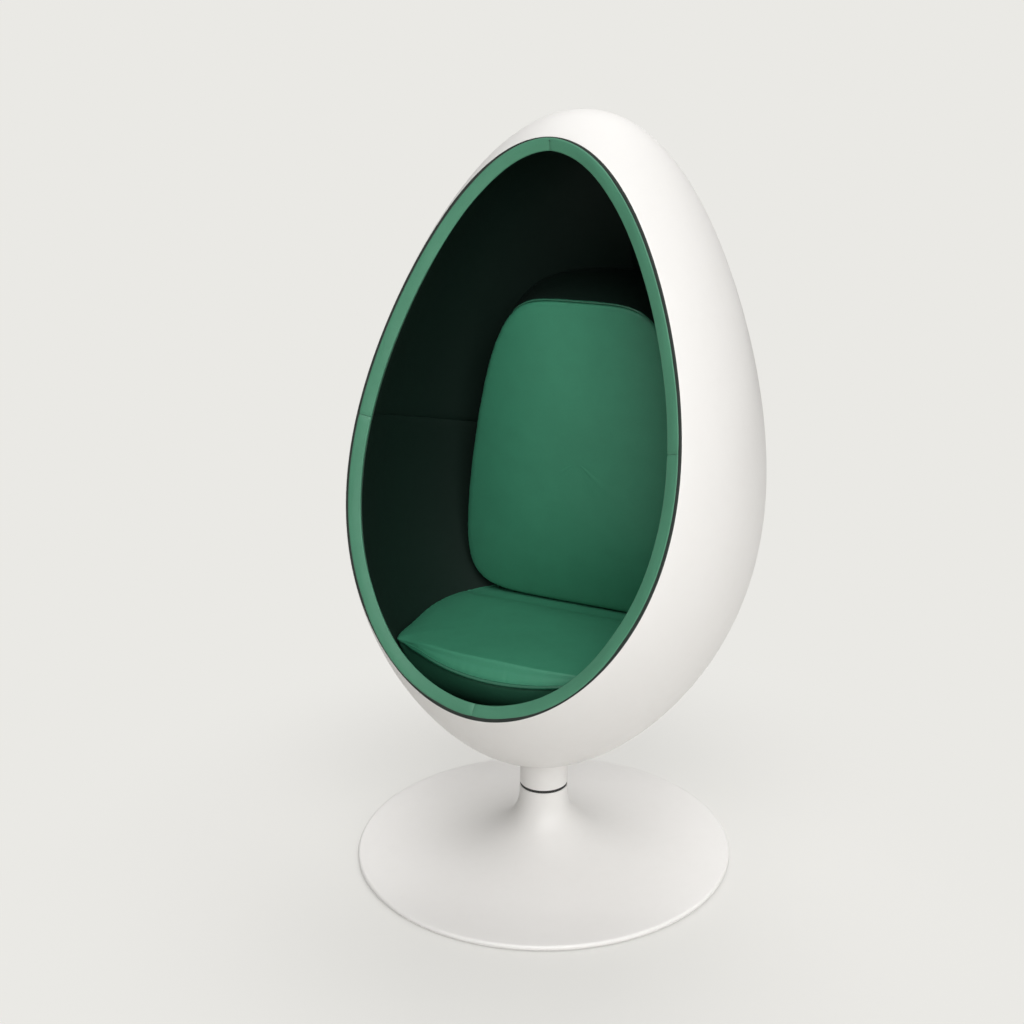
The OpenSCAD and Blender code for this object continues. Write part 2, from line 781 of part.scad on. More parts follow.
module seat_cushion() {
    function ring(row) = [
        for (j = [0 : cushion_sides - 1])
            let (a = 360 * j / cushion_sides, way = shell_r * [cos(a), sin(a), 0],
                 first = [0, seat_middle_y, seat_z(row, seat_front_half_w)],
                 mid = [0, seat_middle_y, seat_z(row, seat_reach(first, first + way, row)[0])],
                 full = seat_reach(mid, mid + way, row) - mid,
                 fold = sin(a) > 0 ? (seat_fold_y - seat_middle_y) / sin(a) : shell_r,
                 front_share = pow(max(0, -sin(a)), 2) * (row[3] > 0 ? 0 : row[0] + row[1]))
            risen(mid + full * (row[1] + row[0] * min(1, fold / norm(full))), row)
                + [0, 0, seat_front_lift * front_share]
    ];
    color(green) loft([for (row = seat_rows_shares) ring(row)],
        risen([0, seat_middle_y, seat_edge_z + seat_crown], seat_rows_shares[0]), [0, seat_middle_y, seat_bottom_z]);
}

// Back cushion: half width over the height, as shares of the half width at its middle
back_width_shares = [1, -0.24, -0.1];
back_corner_powers = [4.4, 6];
// Each row of shares gives a ring's size, its place between front seam and lining, its share of the crown
// and how far it draws in
back_rows_shares = [
    [0.3, 0, 0.98, 0], [0.58, 0, 0.84, 0], [0.8, 0, 0.55, 0], [0.94, 0, 0.2, 0], [1, 0.04, 0, 0],
    [1, 0.5, 0, 1], [0.98, 0.96, 0, 0], [0.8, 1, 0, 0], [0.5, 1, 0, 0], [0.2, 1, 0, 0]
];
back_bottom_z = seat_edge_z + soft_gap;
back_mid_z = back_bottom_z + back_h / 2;

// Superellipse, wider below than above: half width and height at angle a
function back_outline(a) =
    let (power = sin(a) > 0 ? back_corner_powers[0] : back_corner_powers[1],
         v = sign(sin(a)) * pow(abs(sin(a)), 2 / power),
         u = sign(cos(a)) * pow(abs(cos(a)), 2 / power),
         w = back_width_shares[0] + back_width_shares[1] * v + back_width_shares[2] * v * v)
    [u * w * back_half_w, v * back_h / 2];
function back_face_y(z) = back_front_y - (z - back_bottom_z) * tan(back_face_lean);

module back_cushion() {
    function place(a, row) =
        let (outline = back_outline(a), drawn = row[0] * (1 - row[3] * back_draw_in / back_half_w),
             x = drawn * outline[0], z = back_mid_z + drawn * outline[1], front = [x, back_face_y(z), z],
             slant = [x / back_half_w * tan(back_side_slant), 1, max(0, 2 * drawn * outline[1] / back_h) * tan(back_top_slant)],
             rear = last_within(front, front + shell_r * slant, strip_table, shell_z))
        front + (rear - front) * row[1] - [0, back_crown * row[2], 0];
    sides = [for (j = [0 : cushion_sides - 1]) 360 * (j + 0.5) / cushion_sides];
    color(green) loft(
        [for (row = back_rows_shares) [for (a = sides) place(a, row)]],
        place(0, [0, 0, 1, 0]), place(0, [0, 1, 0, 0]));
}

// Hook-and-loop strips that hold the back cushion on the lining
module fastening_strips() {
    color(black) intersection() {
        in_shell() egg_skin(lining_inset + lay_gap, lining_inset + strip_t);
        translate([0, 0, back_mid_z - strip_l / 2]) for (side = [-1, 1])
            translate([side * strip_spacing / 2 - strip_w / 2, shell_back + strip_w, 0]) cube([strip_w, shell_r, strip_l]);
    }
}

base_shell();
ballast_plate();
floor_pad();
base_screws();
column();
column_bolts();
lower_bush();
upper_bush();
thrust_washer();
dust_ring();
spindle();
retaining_washer();
retaining_screw();
shell_packer();
neck_collar();
reinforcing_plate();
mounting_bolts();
mounting_washers();
mounting_nuts();
outer_shell();
edge_trim();
tack_strip();
rim_pad_upper_right();
rim_pad_upper_left();
rim_pad_lower_right();
rim_pad_lower_left();
lining_upper_right();
lining_upper_left();
lining_lower_right();
lining_lower_left();
seat_board();
board_cleats();
board_screws();
seat_cushion();
back_cushion();
fastening_strips();
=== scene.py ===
import json
from math import acos, atan, atan2, cos, pi, radians, sin, tan
import bmesh
import bpy
import numpy as np
from mathutils import Matrix, Vector, kdtree, noise


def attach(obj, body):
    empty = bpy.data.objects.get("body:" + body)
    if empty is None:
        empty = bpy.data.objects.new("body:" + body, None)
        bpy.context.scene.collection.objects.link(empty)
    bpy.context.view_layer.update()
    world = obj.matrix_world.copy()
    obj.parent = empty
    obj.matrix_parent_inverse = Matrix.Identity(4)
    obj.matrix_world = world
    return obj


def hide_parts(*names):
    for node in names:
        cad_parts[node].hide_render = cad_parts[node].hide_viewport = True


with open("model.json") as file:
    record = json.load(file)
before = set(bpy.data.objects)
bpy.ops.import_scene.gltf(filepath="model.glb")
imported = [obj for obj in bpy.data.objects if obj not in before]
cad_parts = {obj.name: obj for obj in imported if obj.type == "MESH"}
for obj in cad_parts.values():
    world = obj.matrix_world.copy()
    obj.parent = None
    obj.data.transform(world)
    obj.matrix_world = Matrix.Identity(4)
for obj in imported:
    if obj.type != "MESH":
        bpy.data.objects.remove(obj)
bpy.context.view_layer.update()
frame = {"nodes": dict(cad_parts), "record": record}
nodes = frame["nodes"]
print("Frame loaded:", len(nodes), "CAD nodes")


def added(name, data):
    made = bpy.data.objects.new(name, data)
    bpy.context.scene.collection.objects.link(made)
    return made


def towards(azimuth, elevation):
    level = cos(elevation)
    return Vector((sin(azimuth) * level, -cos(azimuth) * level, sin(elevation)))


# Camera: where it stands round the chair, how far off, and how the picture is framed
view = {
    "azimuth": radians(28), "elevation": radians(16.393), "distance": 2.41165,
    "targetHeight": 0.658215, "focal": 1421.98, "centre": (543.666, 499.578), "size": 1024, "sensor": 36,
}


def addCamera():
    back = towards(view["azimuth"], view["elevation"])
    right = Vector((cos(view["azimuth"]), sin(view["azimuth"]), 0))
    turn = Matrix((right, back.cross(right), back)).transposed()
    data = bpy.data.cameras.new("camera")
    camera = added("camera", data)
    place = Vector((0, 0, view["targetHeight"])) + back * view["distance"]
    camera.matrix_world = Matrix.Translation(place) @ turn.to_4x4()
    data.sensor_width = view["sensor"]
    data.lens = view["focal"] * view["sensor"] / view["size"]
    data.shift_x = 0.5 - view["centre"][0] / view["size"]
    data.shift_y = view["centre"][1] / view["size"] - 0.5
    data.clip_end = 60
    bpy.context.scene.camera = camera


addCamera()
print("Camera placed")


# Shader maths: a socket that can be added, taken away and scaled like a number
class Socket:
    def __init__(self, shader, output):
        self.shader = shader
        self.output = output

    def maths(self, operation, first, second=0.0):
        return self.shader.node("ShaderNodeMath", {"operation": operation}, {0: first, 1: second})

    def __add__(self, other):
        return self.maths("ADD", self, other)

    def __sub__(self, other):
        return self.maths("SUBTRACT", self, other)

    def __mul__(self, other):
        return self.maths("MULTIPLY", self, other)

    def __rsub__(self, other):
        return self.maths("SUBTRACT", other, self)

    __radd__ = __add__


class Shader:
    def __init__(self, name, owner=None):
        self.material = owner or bpy.data.materials.new(name)
        self.material.use_nodes = True
        self.tree = self.material.node_tree
        self.tree.nodes.clear()

    # Settings are set first, then the sockets, by name or number
    def node(self, kind, settings=None, sockets=None, output=0):
        made = self.tree.nodes.new(kind)
        for name, value in (settings or {}).items():
            setattr(made, name, value)
        for name, value in (sockets or {}).items():
            if isinstance(value, Socket):
                self.tree.links.new(value.output, made.inputs[name])
            else:
                made.inputs[name].default_value = value
        return Socket(self, made.outputs[output]) if made.outputs else None

    def place(self):
        return self.node("ShaderNodeTexCoord", output="Object")

    def stretched(self, scale):
        return self.node("ShaderNodeVectorMath", {"operation": "MULTIPLY"}, {0: self.place(), 1: scale})

    def noise(self, scale, detail=2.0, vector=None, roughness=0.5):
        sockets = {"Scale": scale, "Detail": detail, "Roughness": roughness}
        return self.node("ShaderNodeTexNoise", None, {"Vector": vector or self.place(), **sockets})

    def cells(self, scale, feature="F1", vector=None):
        sockets = {"Vector": vector or self.place(), "Scale": scale}
        return self.node("ShaderNodeTexVoronoi", {"feature": feature}, sockets, output="Distance")

    def ramp(self, value, low, high):
        sockets = {"Value": value, "From Min": low, "From Max": high}
        return self.node("ShaderNodeMapRange", None, sockets)

    def mix(self, factor, first, second, blend="MIX"):
        sockets = {0: factor, 6: self.colour(first), 7: self.colour(second)}
        return self.node("ShaderNodeMix", {"data_type": "RGBA", "blend_type": blend}, sockets, output=2)

    def colour(self, value):
        return value if isinstance(value, Socket) else (*value[:3], 1)

    def bump(self, height, distance, strength=1.0, normal=None):
        sockets = {"Height": height, "Distance": distance, "Strength": strength}
        if normal:
            sockets["Normal"] = normal
        return self.node("ShaderNodeBump", None, sockets)

    # Fixed values are named like their sockets, with underscores for spaces
    def finish(self, colour, roughness, normal=None, **fixed):
        sockets = {"Base Color": self.colour(colour), "Roughness": roughness}
        sockets.update({name.replace("_", " "): value for name, value in fixed.items()})
        if normal:
            sockets["Normal"] = normal
        surface = self.node("ShaderNodeBsdfPrincipled", None, sockets)
        self.node("ShaderNodeOutputMaterial", None, {"Surface": surface})
        return self.material


# White gel coat and lacquer: a faint ripple, orange peel and a little dust in the lows
def gelCoat(name, colour, ripple, shine):
    s = Shader(name)
    dust = s.ramp(s.noise(38.0, 6.0, roughness=0.62), 0.48, 0.8)
    tint = s.mix(s.noise(5.0, 3.0), [c * 0.985 for c in colour], [c * 1.012 for c in colour])
    tint = s.mix(dust * 0.05, tint, (0.62, 0.6, 0.56))
    normal = s.bump(s.noise(11.0, 1.0), ripple)
    normal = s.bump(s.noise(420.0, 1.0), 0.00003, 0.5, normal)
    rough = dust * 0.1 + s.noise(60.0, 2.0) * 0.05 + shine
    return s.finish(tint, rough, normal, Coat_Weight=0.1, Coat_Roughness=shine * 0.7, IOR=1.42)


# Coated vinyl: pebbled grain, a soft cloudy tone and a slightly worn shine
def vinyl(name, colour, rough, grain=1.0, sheen=0.0, specular=0.5, coat=0.0):
    s = Shader(name)
    mottle = s.noise(34.0, 4.0, roughness=0.6)
    pebbles = s.cells(620.0, "DISTANCE_TO_EDGE")
    creases = s.cells(230.0, "DISTANCE_TO_EDGE", s.node("ShaderNodeVectorMath", {"operation": "ADD"}, {
        0: s.place(), 1: s.node("ShaderNodeVectorMath", {"operation": "SCALE"}, {
            0: s.node("ShaderNodeTexNoise", None, {"Vector": s.place(), "Scale": 90.0}, output="Color"),
            "Scale": 0.004})}))
    pores = s.ramp(pebbles, 0.0, 0.12)
    lines = s.ramp(creases, 0.0, 0.07)
    tint = s.mix(s.noise(7.0, 3.0), [c * 0.93 for c in colour], [c * 1.08 for c in colour])
    tint = s.mix(s.ramp(mottle, 0.42, 0.7) * 0.22, tint, [c * 0.8 for c in colour])
    # The grooves between the pebbles are painted darker: painted shade in the grain's hollows
    tint = s.mix((1 - pores) * 0.16, tint, [c * 0.45 for c in colour])
    height = pores * 0.55 + lines * 0.45 + s.noise(900.0, 1.0) * 0.2
    normal = s.bump(height, 0.00011, 0.55 * grain)
    normal = s.bump(s.noise(26.0, 2.0), 0.0007, 0.5, normal)
    roughness = rough + mottle * 0.1 - 0.05 + (1 - pores) * 0.12
    return s.finish(tint, roughness, normal, IOR=1.5, Specular_IOR_Level=specular, Sheen_Weight=sheen,
                    Sheen_Roughness=0.45, Coat_Weight=coat, Coat_Roughness=0.06)


def rubber(name, colour, rough=0.55):
    s = Shader(name)
    fine = s.noise(700.0, 2.0)
    wear = s.ramp(s.noise(45.0, 5.0), 0.45, 0.75)
    tint = s.mix(wear * 0.35, colour, [c + 0.03 for c in colour])
    return s.finish(tint, rough + wear * 0.12, s.bump(fine, 0.00006, 0.6), IOR=1.48)


def steel(name, colour, rough, brushed):
    s = Shader(name)
    lines = s.noise(140.0, 5.0, s.stretched((1.0, 1.0, brushed)), 0.65)
    stain = s.ramp(s.noise(18.0, 5.0), 0.4, 0.75)
    tint = s.mix(lines * 0.45, colour, [c * 0.72 for c in colour])
    tint = s.mix(stain * 0.25, tint, (0.2, 0.19, 0.175))
    return s.finish(tint, rough + lines * 0.16 + stain * 0.08, s.bump(lines, 0.00008, 0.5), Metallic=1.0)


def zinc(name, colour):
    s = Shader(name)
    fine = s.noise(500.0, 3.0)
    tint = s.mix(s.ramp(s.cells(260.0), 0.1, 0.7), colour, [c * 0.8 for c in colour])
    return s.finish(tint, 0.28 + fine * 0.14, s.bump(fine, 0.00005, 0.5), Metallic=1.0)


def plywood(name, pale, dark):
    s = Shader(name)
    grain = s.noise(26.0, 6.0, s.stretched((1.0, 9.0, 1.0)), 0.6)
    plies = s.node("ShaderNodeTexWave", {"wave_type": "BANDS", "bands_direction": "Z"}, {
        "Vector": s.place(), "Scale": 110.0, "Distortion": 0.3})
    tint = s.mix(s.ramp(grain, 0.35, 0.7), pale, dark)
    tint = s.mix(plies * 0.25, tint, [c * 0.6 for c in dark])
    return s.finish(tint, 0.6 + grain * 0.15, s.bump(grain, 0.0002, 0.7), IOR=1.45)


def felt(name, colour):
    s = Shader(name)
    fibres = s.noise(900.0, 6.0, roughness=0.7)
    tint = s.mix(fibres, [c * 0.6 for c in colour], [c * 1.7 for c in colour])
    tint = s.mix(s.noise(90.0, 3.0) * 0.4, tint, colour)
    return s.finish(tint, 0.92, s.bump(fibres, 0.0006), Sheen_Weight=0.4)


def pile(name, colour):
    s = Shader(name)
    loops = s.cells(700.0)
    tint = s.mix(loops, colour, [c * 2.2 for c in colour])
    return s.finish(tint, 0.85, s.bump(loops, 0.0005), Sheen_Weight=0.3)


def mouldedPlastic(name, colour):
    s = Shader(name)
    spark = s.noise(800.0, 2.0)
    tint = s.mix(s.noise(22.0, 2.0), [c * 0.85 for c in colour], [c * 1.2 for c in colour])
    return s.finish(tint, 0.42 + spark * 0.16, s.bump(spark, 0.00008, 0.6), IOR=1.49)


finishes = {
    "gel_coat_shell": gelCoat("gel coat", (0.785, 0.77, 0.75), 0.0004, 0.36),
    "gel_coat_base": gelCoat("white lacquer", (0.84, 0.825, 0.805), 0.00025, 0.4),
    "rim_vinyl": vinyl("rim vinyl", (0.058, 0.215, 0.128), 0.5, sheen=0.06),
    # The lining's near-black tone is partly its own dark vinyl and partly painted shade for the inside
    # of the shell
    "lining_vinyl": vinyl("lining vinyl", (0.0034, 0.0135, 0.0090), 0.6, specular=0.26),
    "cushion_vinyl": vinyl("cushion vinyl", (0.044, 0.232, 0.135), 0.5, specular=0.36),
    "piping_vinyl": vinyl("piping vinyl", (0.024, 0.14, 0.08), 0.2, grain=0.2, coat=0.3),
    # A darker copy of the cushion vinyl for the seat's belly: painted shade under the welt
    "belly_painted_shade_vinyl": vinyl("belly painted shade vinyl", (0.0165, 0.086, 0.049), 0.55, specular=0.25),
    "trim_rubber": rubber("edge trim rubber", (0.006, 0.012, 0.009), 0.6),
    "seal_rubber": rubber("seal rubber", (0.02, 0.02, 0.019)),
    "bush_plastic": mouldedPlastic("bush plastic", (0.03, 0.03, 0.03)),
    "bare_steel": steel("turned steel", (0.45, 0.46, 0.47), 0.3, 14.0),
    "zinc_steel": zinc("zinc plate", (0.6, 0.61, 0.63)),
    "felt": felt("floor felt", (0.075, 0.075, 0.07)),
    "plywood": plywood("birch plywood", (0.62, 0.45, 0.28), (0.45, 0.29, 0.16)),
    "hook_and_loop": pile("hook and loop", (0.014, 0.014, 0.014)),
}


def dressNodes():
    for row in frame["record"]["subparts"]:
        mesh = nodes[row["node"]].data
        mesh.materials.clear()
        mesh.materials.append(finishes[row["material_slot"]])
    # The seat board's top and front faces take the dark lining vinyl: painted shade, so the gap beneath
    # the seat cushion reads black
    board = nodes["seat_board"].data
    board.materials.append(finishes["lining_vinyl"])
    for face in board.polygons:
        shade_painted_face = face.normal.z > 0.5 or face.normal.y < -0.5
        face.material_index = int(shade_painted_face)  # dark lining vinyl on its top and front faces: painted shade for the gap under the seat's belly


dressNodes()
print("Finishes mixed:", len(finishes))


# The egg, its lean and the plane of its opening, in metres and radians
egg = {
    "radius": 0.352, "halfLength": 0.562, "taperShares": (-0.19, -0.088, 0.12),
    "lean": radians(11.5), "back": 0.06, "underside": 0.187, "wall": 0.004,
    "openingFront": 0.185, "openingLean": radians(5.1),
    "seamHeight": 0.0215, "seamRise": radians(3), "steps": 1440,
}
tables = {}


# Height and radius of the egg's profile, drawn in by inset along its normal
def eggTable(inset):
    if inset not in tables:
        t = np.linspace(-pi / 2, pi / 2, egg["steps"] + 1)
        s = np.sin(t)
        a, b, c = egg["taperShares"]
        r = egg["radius"] * np.cos(t) * (1 + a * s + b * s ** 2 + c * s ** 3)
        z = egg["halfLength"] * s
        stepR, stepZ = np.gradient(r), np.gradient(z)
        size = np.hypot(stepR, stepZ)
        drawnR = r - inset * stepZ / size
        drawnR[[0, -1]] = 0
        tables[inset] = (z + inset * stepR / size, drawnR)
    return tables[inset]


def radiusAt(z, inset):
    heights, radii = eggTable(inset)
    return np.interp(z, heights, radii)


# The egg's frame has +Z along its axis. The opening's frame has h up along the opening and b in
# through it
def openingToEgg(h, b):
    s, c = sin(egg["openingLean"]), cos(egg["openingLean"])
    return h * s + b * c - egg["openingFront"], h * c - b * s


def eggToRow(x, y, z):
    s, c = sin(egg["lean"]), cos(egg["lean"])
    return np.stack([x + 0 * z, egg["back"] + y * c + z * s, egg["middle"] - y * s + z * c], -1)


def openingToRow(x, h, b):
    return eggToRow(x, *openingToEgg(h, b))


def withinEgg(points, inset):
    s, c = sin(egg["lean"]), cos(egg["lean"])
    y, z = points[..., 1] - egg["back"], points[..., 2] - egg["middle"]
    return np.hypot(points[..., 0], y * c - z * s) < radiusAt(y * s + z * c, inset)


# Last place from start towards end that passes the test, by halving
def lastWithin(start, end, test, turns=30):
    start, end = np.broadcast_arrays(np.array(start, float), np.array(end, float))
    for _ in range(turns):
        middle = (start + end) / 2
        passed = test(middle)[..., None]
        start, end = np.where(passed, middle, start), np.where(passed, end, middle)
    return start


# Height of the egg's middle: its underside on the swivel's axis lies at the height asked for
egg["middle"] = 0.0
axis = np.zeros((1, 3))
lowest = lastWithin(axis, axis - [0, 0, 2], lambda p: withinEgg(p, 0.0))[0, 2]
egg["middle"] = egg["underside"] - lowest


# Half width at height h of the curve in which a plane at depth b cuts the egg
def curveX(h, inset, b):
    y, z = openingToEgg(h, b)
    return np.sqrt(np.maximum(0, radiusAt(z, inset) ** 2 - y * y))


def curveEnd(way, inset, b, start):
    low, high = start, way * egg["halfLength"] * 1.05
    for _ in range(34):
        middle = (low + high) / 2
        low, high = (middle, high) if curveX(np.array([middle]), inset, b)[0] > 0 else (low, middle)
    return low


# A quarter of that curve from the right-hand side (share 0) to the top or the bottom (share 1), drawn in
# by offset within the plane
def quarter(share, way, inset, b, offset=0.0, start=None):
    start = egg["seamHeight"] if start is None else start
    end = curveEnd(way, inset, b, start)

    def at(t):
        h = start + (end - start) * np.sin(t * pi / 2)
        x = curveX(h, inset, b)
        return np.where(t > 1, -x, x), h

    x, h = at(share)
    if offset:
        step = 0.002
        (x1, h1), (x0, h0) = at(share + step), at(share - step)
        size = np.hypot(x1 - x0, h1 - h0)
        x, h = x - offset * way * (h1 - h0) / size, h + offset * way * (x1 - x0) / size
    return x, h


# The whole curve, once round from the right-hand side over the top
def fullLoop(count, inset, b, start=None):
    share = np.arange(count + 1) / count
    xUp, hUp = quarter(share, 1, inset, b, start=start)
    xLow, hLow = quarter(share, -1, inset, b, start=start)
    x = np.concatenate([xUp, -xUp[-2:0:-1], -xLow, xLow[-2:0:-1]])
    h = np.concatenate([hUp, hUp[-2:0:-1], hLow, hLow[-2:0:-1]])
    return openingToRow(x, h, b + 0 * h)


# Meshes
def addPiece(name, points, faces, slot, body, *replaced, finish=None):
    mesh = bpy.data.meshes.new(name)
    mesh.from_pydata([tuple(p) for p in np.asarray(points, float)], [], faces)
    mesh.validate()
    tidy = bmesh.new()
    tidy.from_mesh(mesh)
    bmesh.ops.remove_doubles(tidy, verts=tidy.verts, dist=0.00001)
    bmesh.ops.dissolve_degenerate(tidy, dist=0.000005, edges=tidy.edges)
    bmesh.ops.recalc_face_normals(tidy, faces=tidy.faces)
    tidy.to_mesh(mesh)
    tidy.free()
    mesh.shade_smooth()
    piece = added(name, mesh)
    mesh.materials.append(finishes[finish or slot])
    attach(piece, body)
    if replaced:
        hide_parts(*replaced)
    return piece


def gridFaces(rows, columns, closedRows=False, closedColumns=True, first=0):
    faces = []
    for i in range(rows if closedRows else rows - 1):
        for j in range(columns if closedColumns else columns - 1):
            a, b = i * columns + j, i * columns + (j + 1) % columns
            below = (i + 1) % rows * columns - i * columns
            faces.append((first + a, first + b, first + b + below, first + a + below))
    return faces


# Rings of points, closed by a fan at each end that has a middle point
def loftMesh(rings, ends=(None, None), closed=False):
    rings = np.asarray(rings)
    rows, columns = rings.shape[:2]
    points = list(rings.reshape(-1, 3))
    faces = gridFaces(rows, columns, closed)
    for end, row in zip(ends, (0, rows - 1)):
        if end is not None:
            points.append(end)
            first, tip = row * columns, len(points) - 1
            faces += [(tip, first + j, first + (j + 1) % columns) for j in range(columns)]
    return points, faces


def loftPiece(name, rings, slot, body, *replaced, ends=(None, None), closed=False, finish=None):
    points, faces = loftMesh(rings, ends, closed)
    return addPiece(name, points, faces, slot, body, *replaced, finish=finish)


# Places from 0 to 1 that crowd together towards both ends
def crowded(length, fine, coarse, growth=1.45):
    steps, step = [], fine
    while sum(steps) + step < length / 2 and step < coarse:
        steps.append(step)
        step *= growth
    rest = length - 2 * sum(steps)
    count = max(1, round(rest / coarse))
    places = np.cumsum([0.0] + steps + [rest / count] * count + steps[::-1])
    return places / places[-1]


# Piping: a tube along points, with a radius at each
def addPiping(name, path, radii, sides=12):
    ahead = np.roll(path, -1, 0) - np.roll(path, 1, 0)
    ahead[0], ahead[-1] = path[1] - path[0], path[-1] - path[-2]
    ahead /= np.linalg.norm(ahead, axis=1)[:, None]
    side = np.cross(ahead, [0, 0, 1.0])
    side /= np.linalg.norm(side, axis=1)[:, None]
    up = np.cross(side, ahead)
    angles = 2 * pi * np.arange(sides) / sides
    ring = np.cos(angles)[None, :, None] * side[:, None] + np.sin(angles)[None, :, None] * up[:, None]
    rings = path[:, None] + ring * radii[:, None, None]
    ends = (path[0], path[-1])
    return loftPiece(name, rings, "cushion_vinyl", "pod", ends=ends, finish="piping_vinyl")


# Outer shell: one moulded skin with a rounded lip
shell = {"lipRound": 0.0012, "around": 64, "outerRows": 76, "innerRows": 30}


def farthest(inset):
    heights, radii = eggTable(inset)
    s, c = sin(egg["openingLean"]), cos(egg["openingLean"])
    depth = (radii + egg["openingFront"]) * c - heights * s
    k = int(np.argmax(depth))
    return depth[k], (radii[k] + egg["openingFront"]) * s + heights[k] * c


def skinRings(inset, fromDepth, rows):
    deepest, poleHeight = farthest(inset)
    middle = egg["openingFront"] / cos(egg["openingLean"])
    reach = deepest - middle
    first = acos((middle - fromDepth) / reach)
    rings = []
    for t in np.linspace(first, pi, rows + 1)[:-1]:
        b = middle - reach * cos(t)
        share = (b / deepest) ** 2
        start = egg["seamHeight"] * (1 - share) + poleHeight * share
        rings.append(fullLoop(shell["around"], inset, b, start=start))
    return rings, openingToRow(np.array([0.0]), np.array([poleHeight]), deepest)[0]


def outerShell():
    r, wall = shell["lipRound"], egg["wall"]
    outer, outerPole = skinRings(0.0, r, shell["outerRows"])
    inner, innerPole = skinRings(wall, r, shell["innerRows"])
    lip = []
    for a in np.radians([18, 36, 54, 72, 90]):
        lip.append((r - r * cos(a), r - r * sin(a)))
    lip += [(wall - inset, b) for inset, b in reversed(lip)]
    rings = outer[::-1] + [fullLoop(shell["around"], inset, b) for inset, b in lip] + inner
    ends = (outerPole, innerPole)
    return loftPiece("outer_shell_skin", rings, "gel_coat_shell", "pod", "outer_shell", ends=ends)


# Edge trim: a rubber profile whose cap shows as a dark line round the padding
trim = {
    "capOuter": 0.0005, "legOuter": 0.0041, "legInner": 0.0049, "capThickness": 0.001, "legDepth": 0.013,
    "round": 0.0005,
}


def edgeTrim():
    r, top, low = trim["round"], -trim["capThickness"], -0.00005
    outer, legOuter, inner, deep = trim["capOuter"], trim["legOuter"], trim["legInner"], trim["legDepth"]
    section = [(outer, low), (outer, top + r)]
    for a in np.radians([30, 60, 90]):
        section.append((outer + r - r * cos(a), top + r - r * sin(a)))
    section += [((outer + inner) / 2, top - 0.0001), (inner - r, top), (inner, top + r)]
    section += [(inner, deep), (legOuter, deep), (legOuter, low)]
    rings = [fullLoop(shell["around"], inset, b) for inset, b in section]
    return loftPiece("edge_trim_profile", rings, "trim_rubber", "pod", "edge_trim", closed=True)


# Rim padding: four lengths of stuffed vinyl that meet in sewn butts
rim = {
    "inset": 0.0051, "width": 0.0286, "fall": 0.0033, "outerRound": 0.0032, "innerRound": 0.0026,
    "crown": 0.0007, "liningInset": 0.0267, "depth": 0.030, "tackSide": 0.0089, "tackFront": 0.0156,
    "seamGap": 0.0002, "seamDip": 0.0016, "seamReach": 0.0042, "seamNarrow": 0.35, "unevenness": 0.00025,
    "bulgeTop": 0.0066, "bulgeFoot": 0.0044, "footAt": 0.65, "footReach": 0.2, "footEnd": 0.3,
    "bulgeLeast": 0.0018, "bulgeRise": 0.0026, "bulgeFull": 0.003,
}


# Section points: [share from the outer to the inner curve, inset, offset in the plane, depth, share of
# the dip]. Faces lie between the two curves, and have no offset of their own
def rimSection():
    r1, r2 = rim["outerRound"], rim["innerRound"]
    turn = atan2(rim["fall"], rim["width"] - r2 - rim["inset"] - r1)
    points = [(0, rim["inset"], 0, r1, 0)]
    for a in np.linspace(radians(225), radians(270) + turn, 6):
        points.append((0, 0, r1 + r1 * cos(a), r1 + r1 * sin(a), 1))
    for share in np.linspace(0, 1, 8)[1:-1]:
        swell = rim["crown"] * 4 * share * (1 - share)
        points.append((share, 0, None, share * rim["fall"] - swell, 1))
    for a in np.linspace(radians(270) + turn, radians(360), 6):
        offset = rim["width"] - r2 + r2 * cos(a)
        points.append((1, 0, offset, rim["fall"] + r2 + r2 * sin(a), 1))
    points.append((0, rim["liningInset"], 0, rim["depth"], 0))
    points.append((0, rim["tackSide"], 0, rim["depth"], 0))
    points.append((0, rim["tackSide"], 0, rim["tackFront"], 0))
    points.append((0, rim["inset"], 0, rim["tackFront"], 0))
    return points


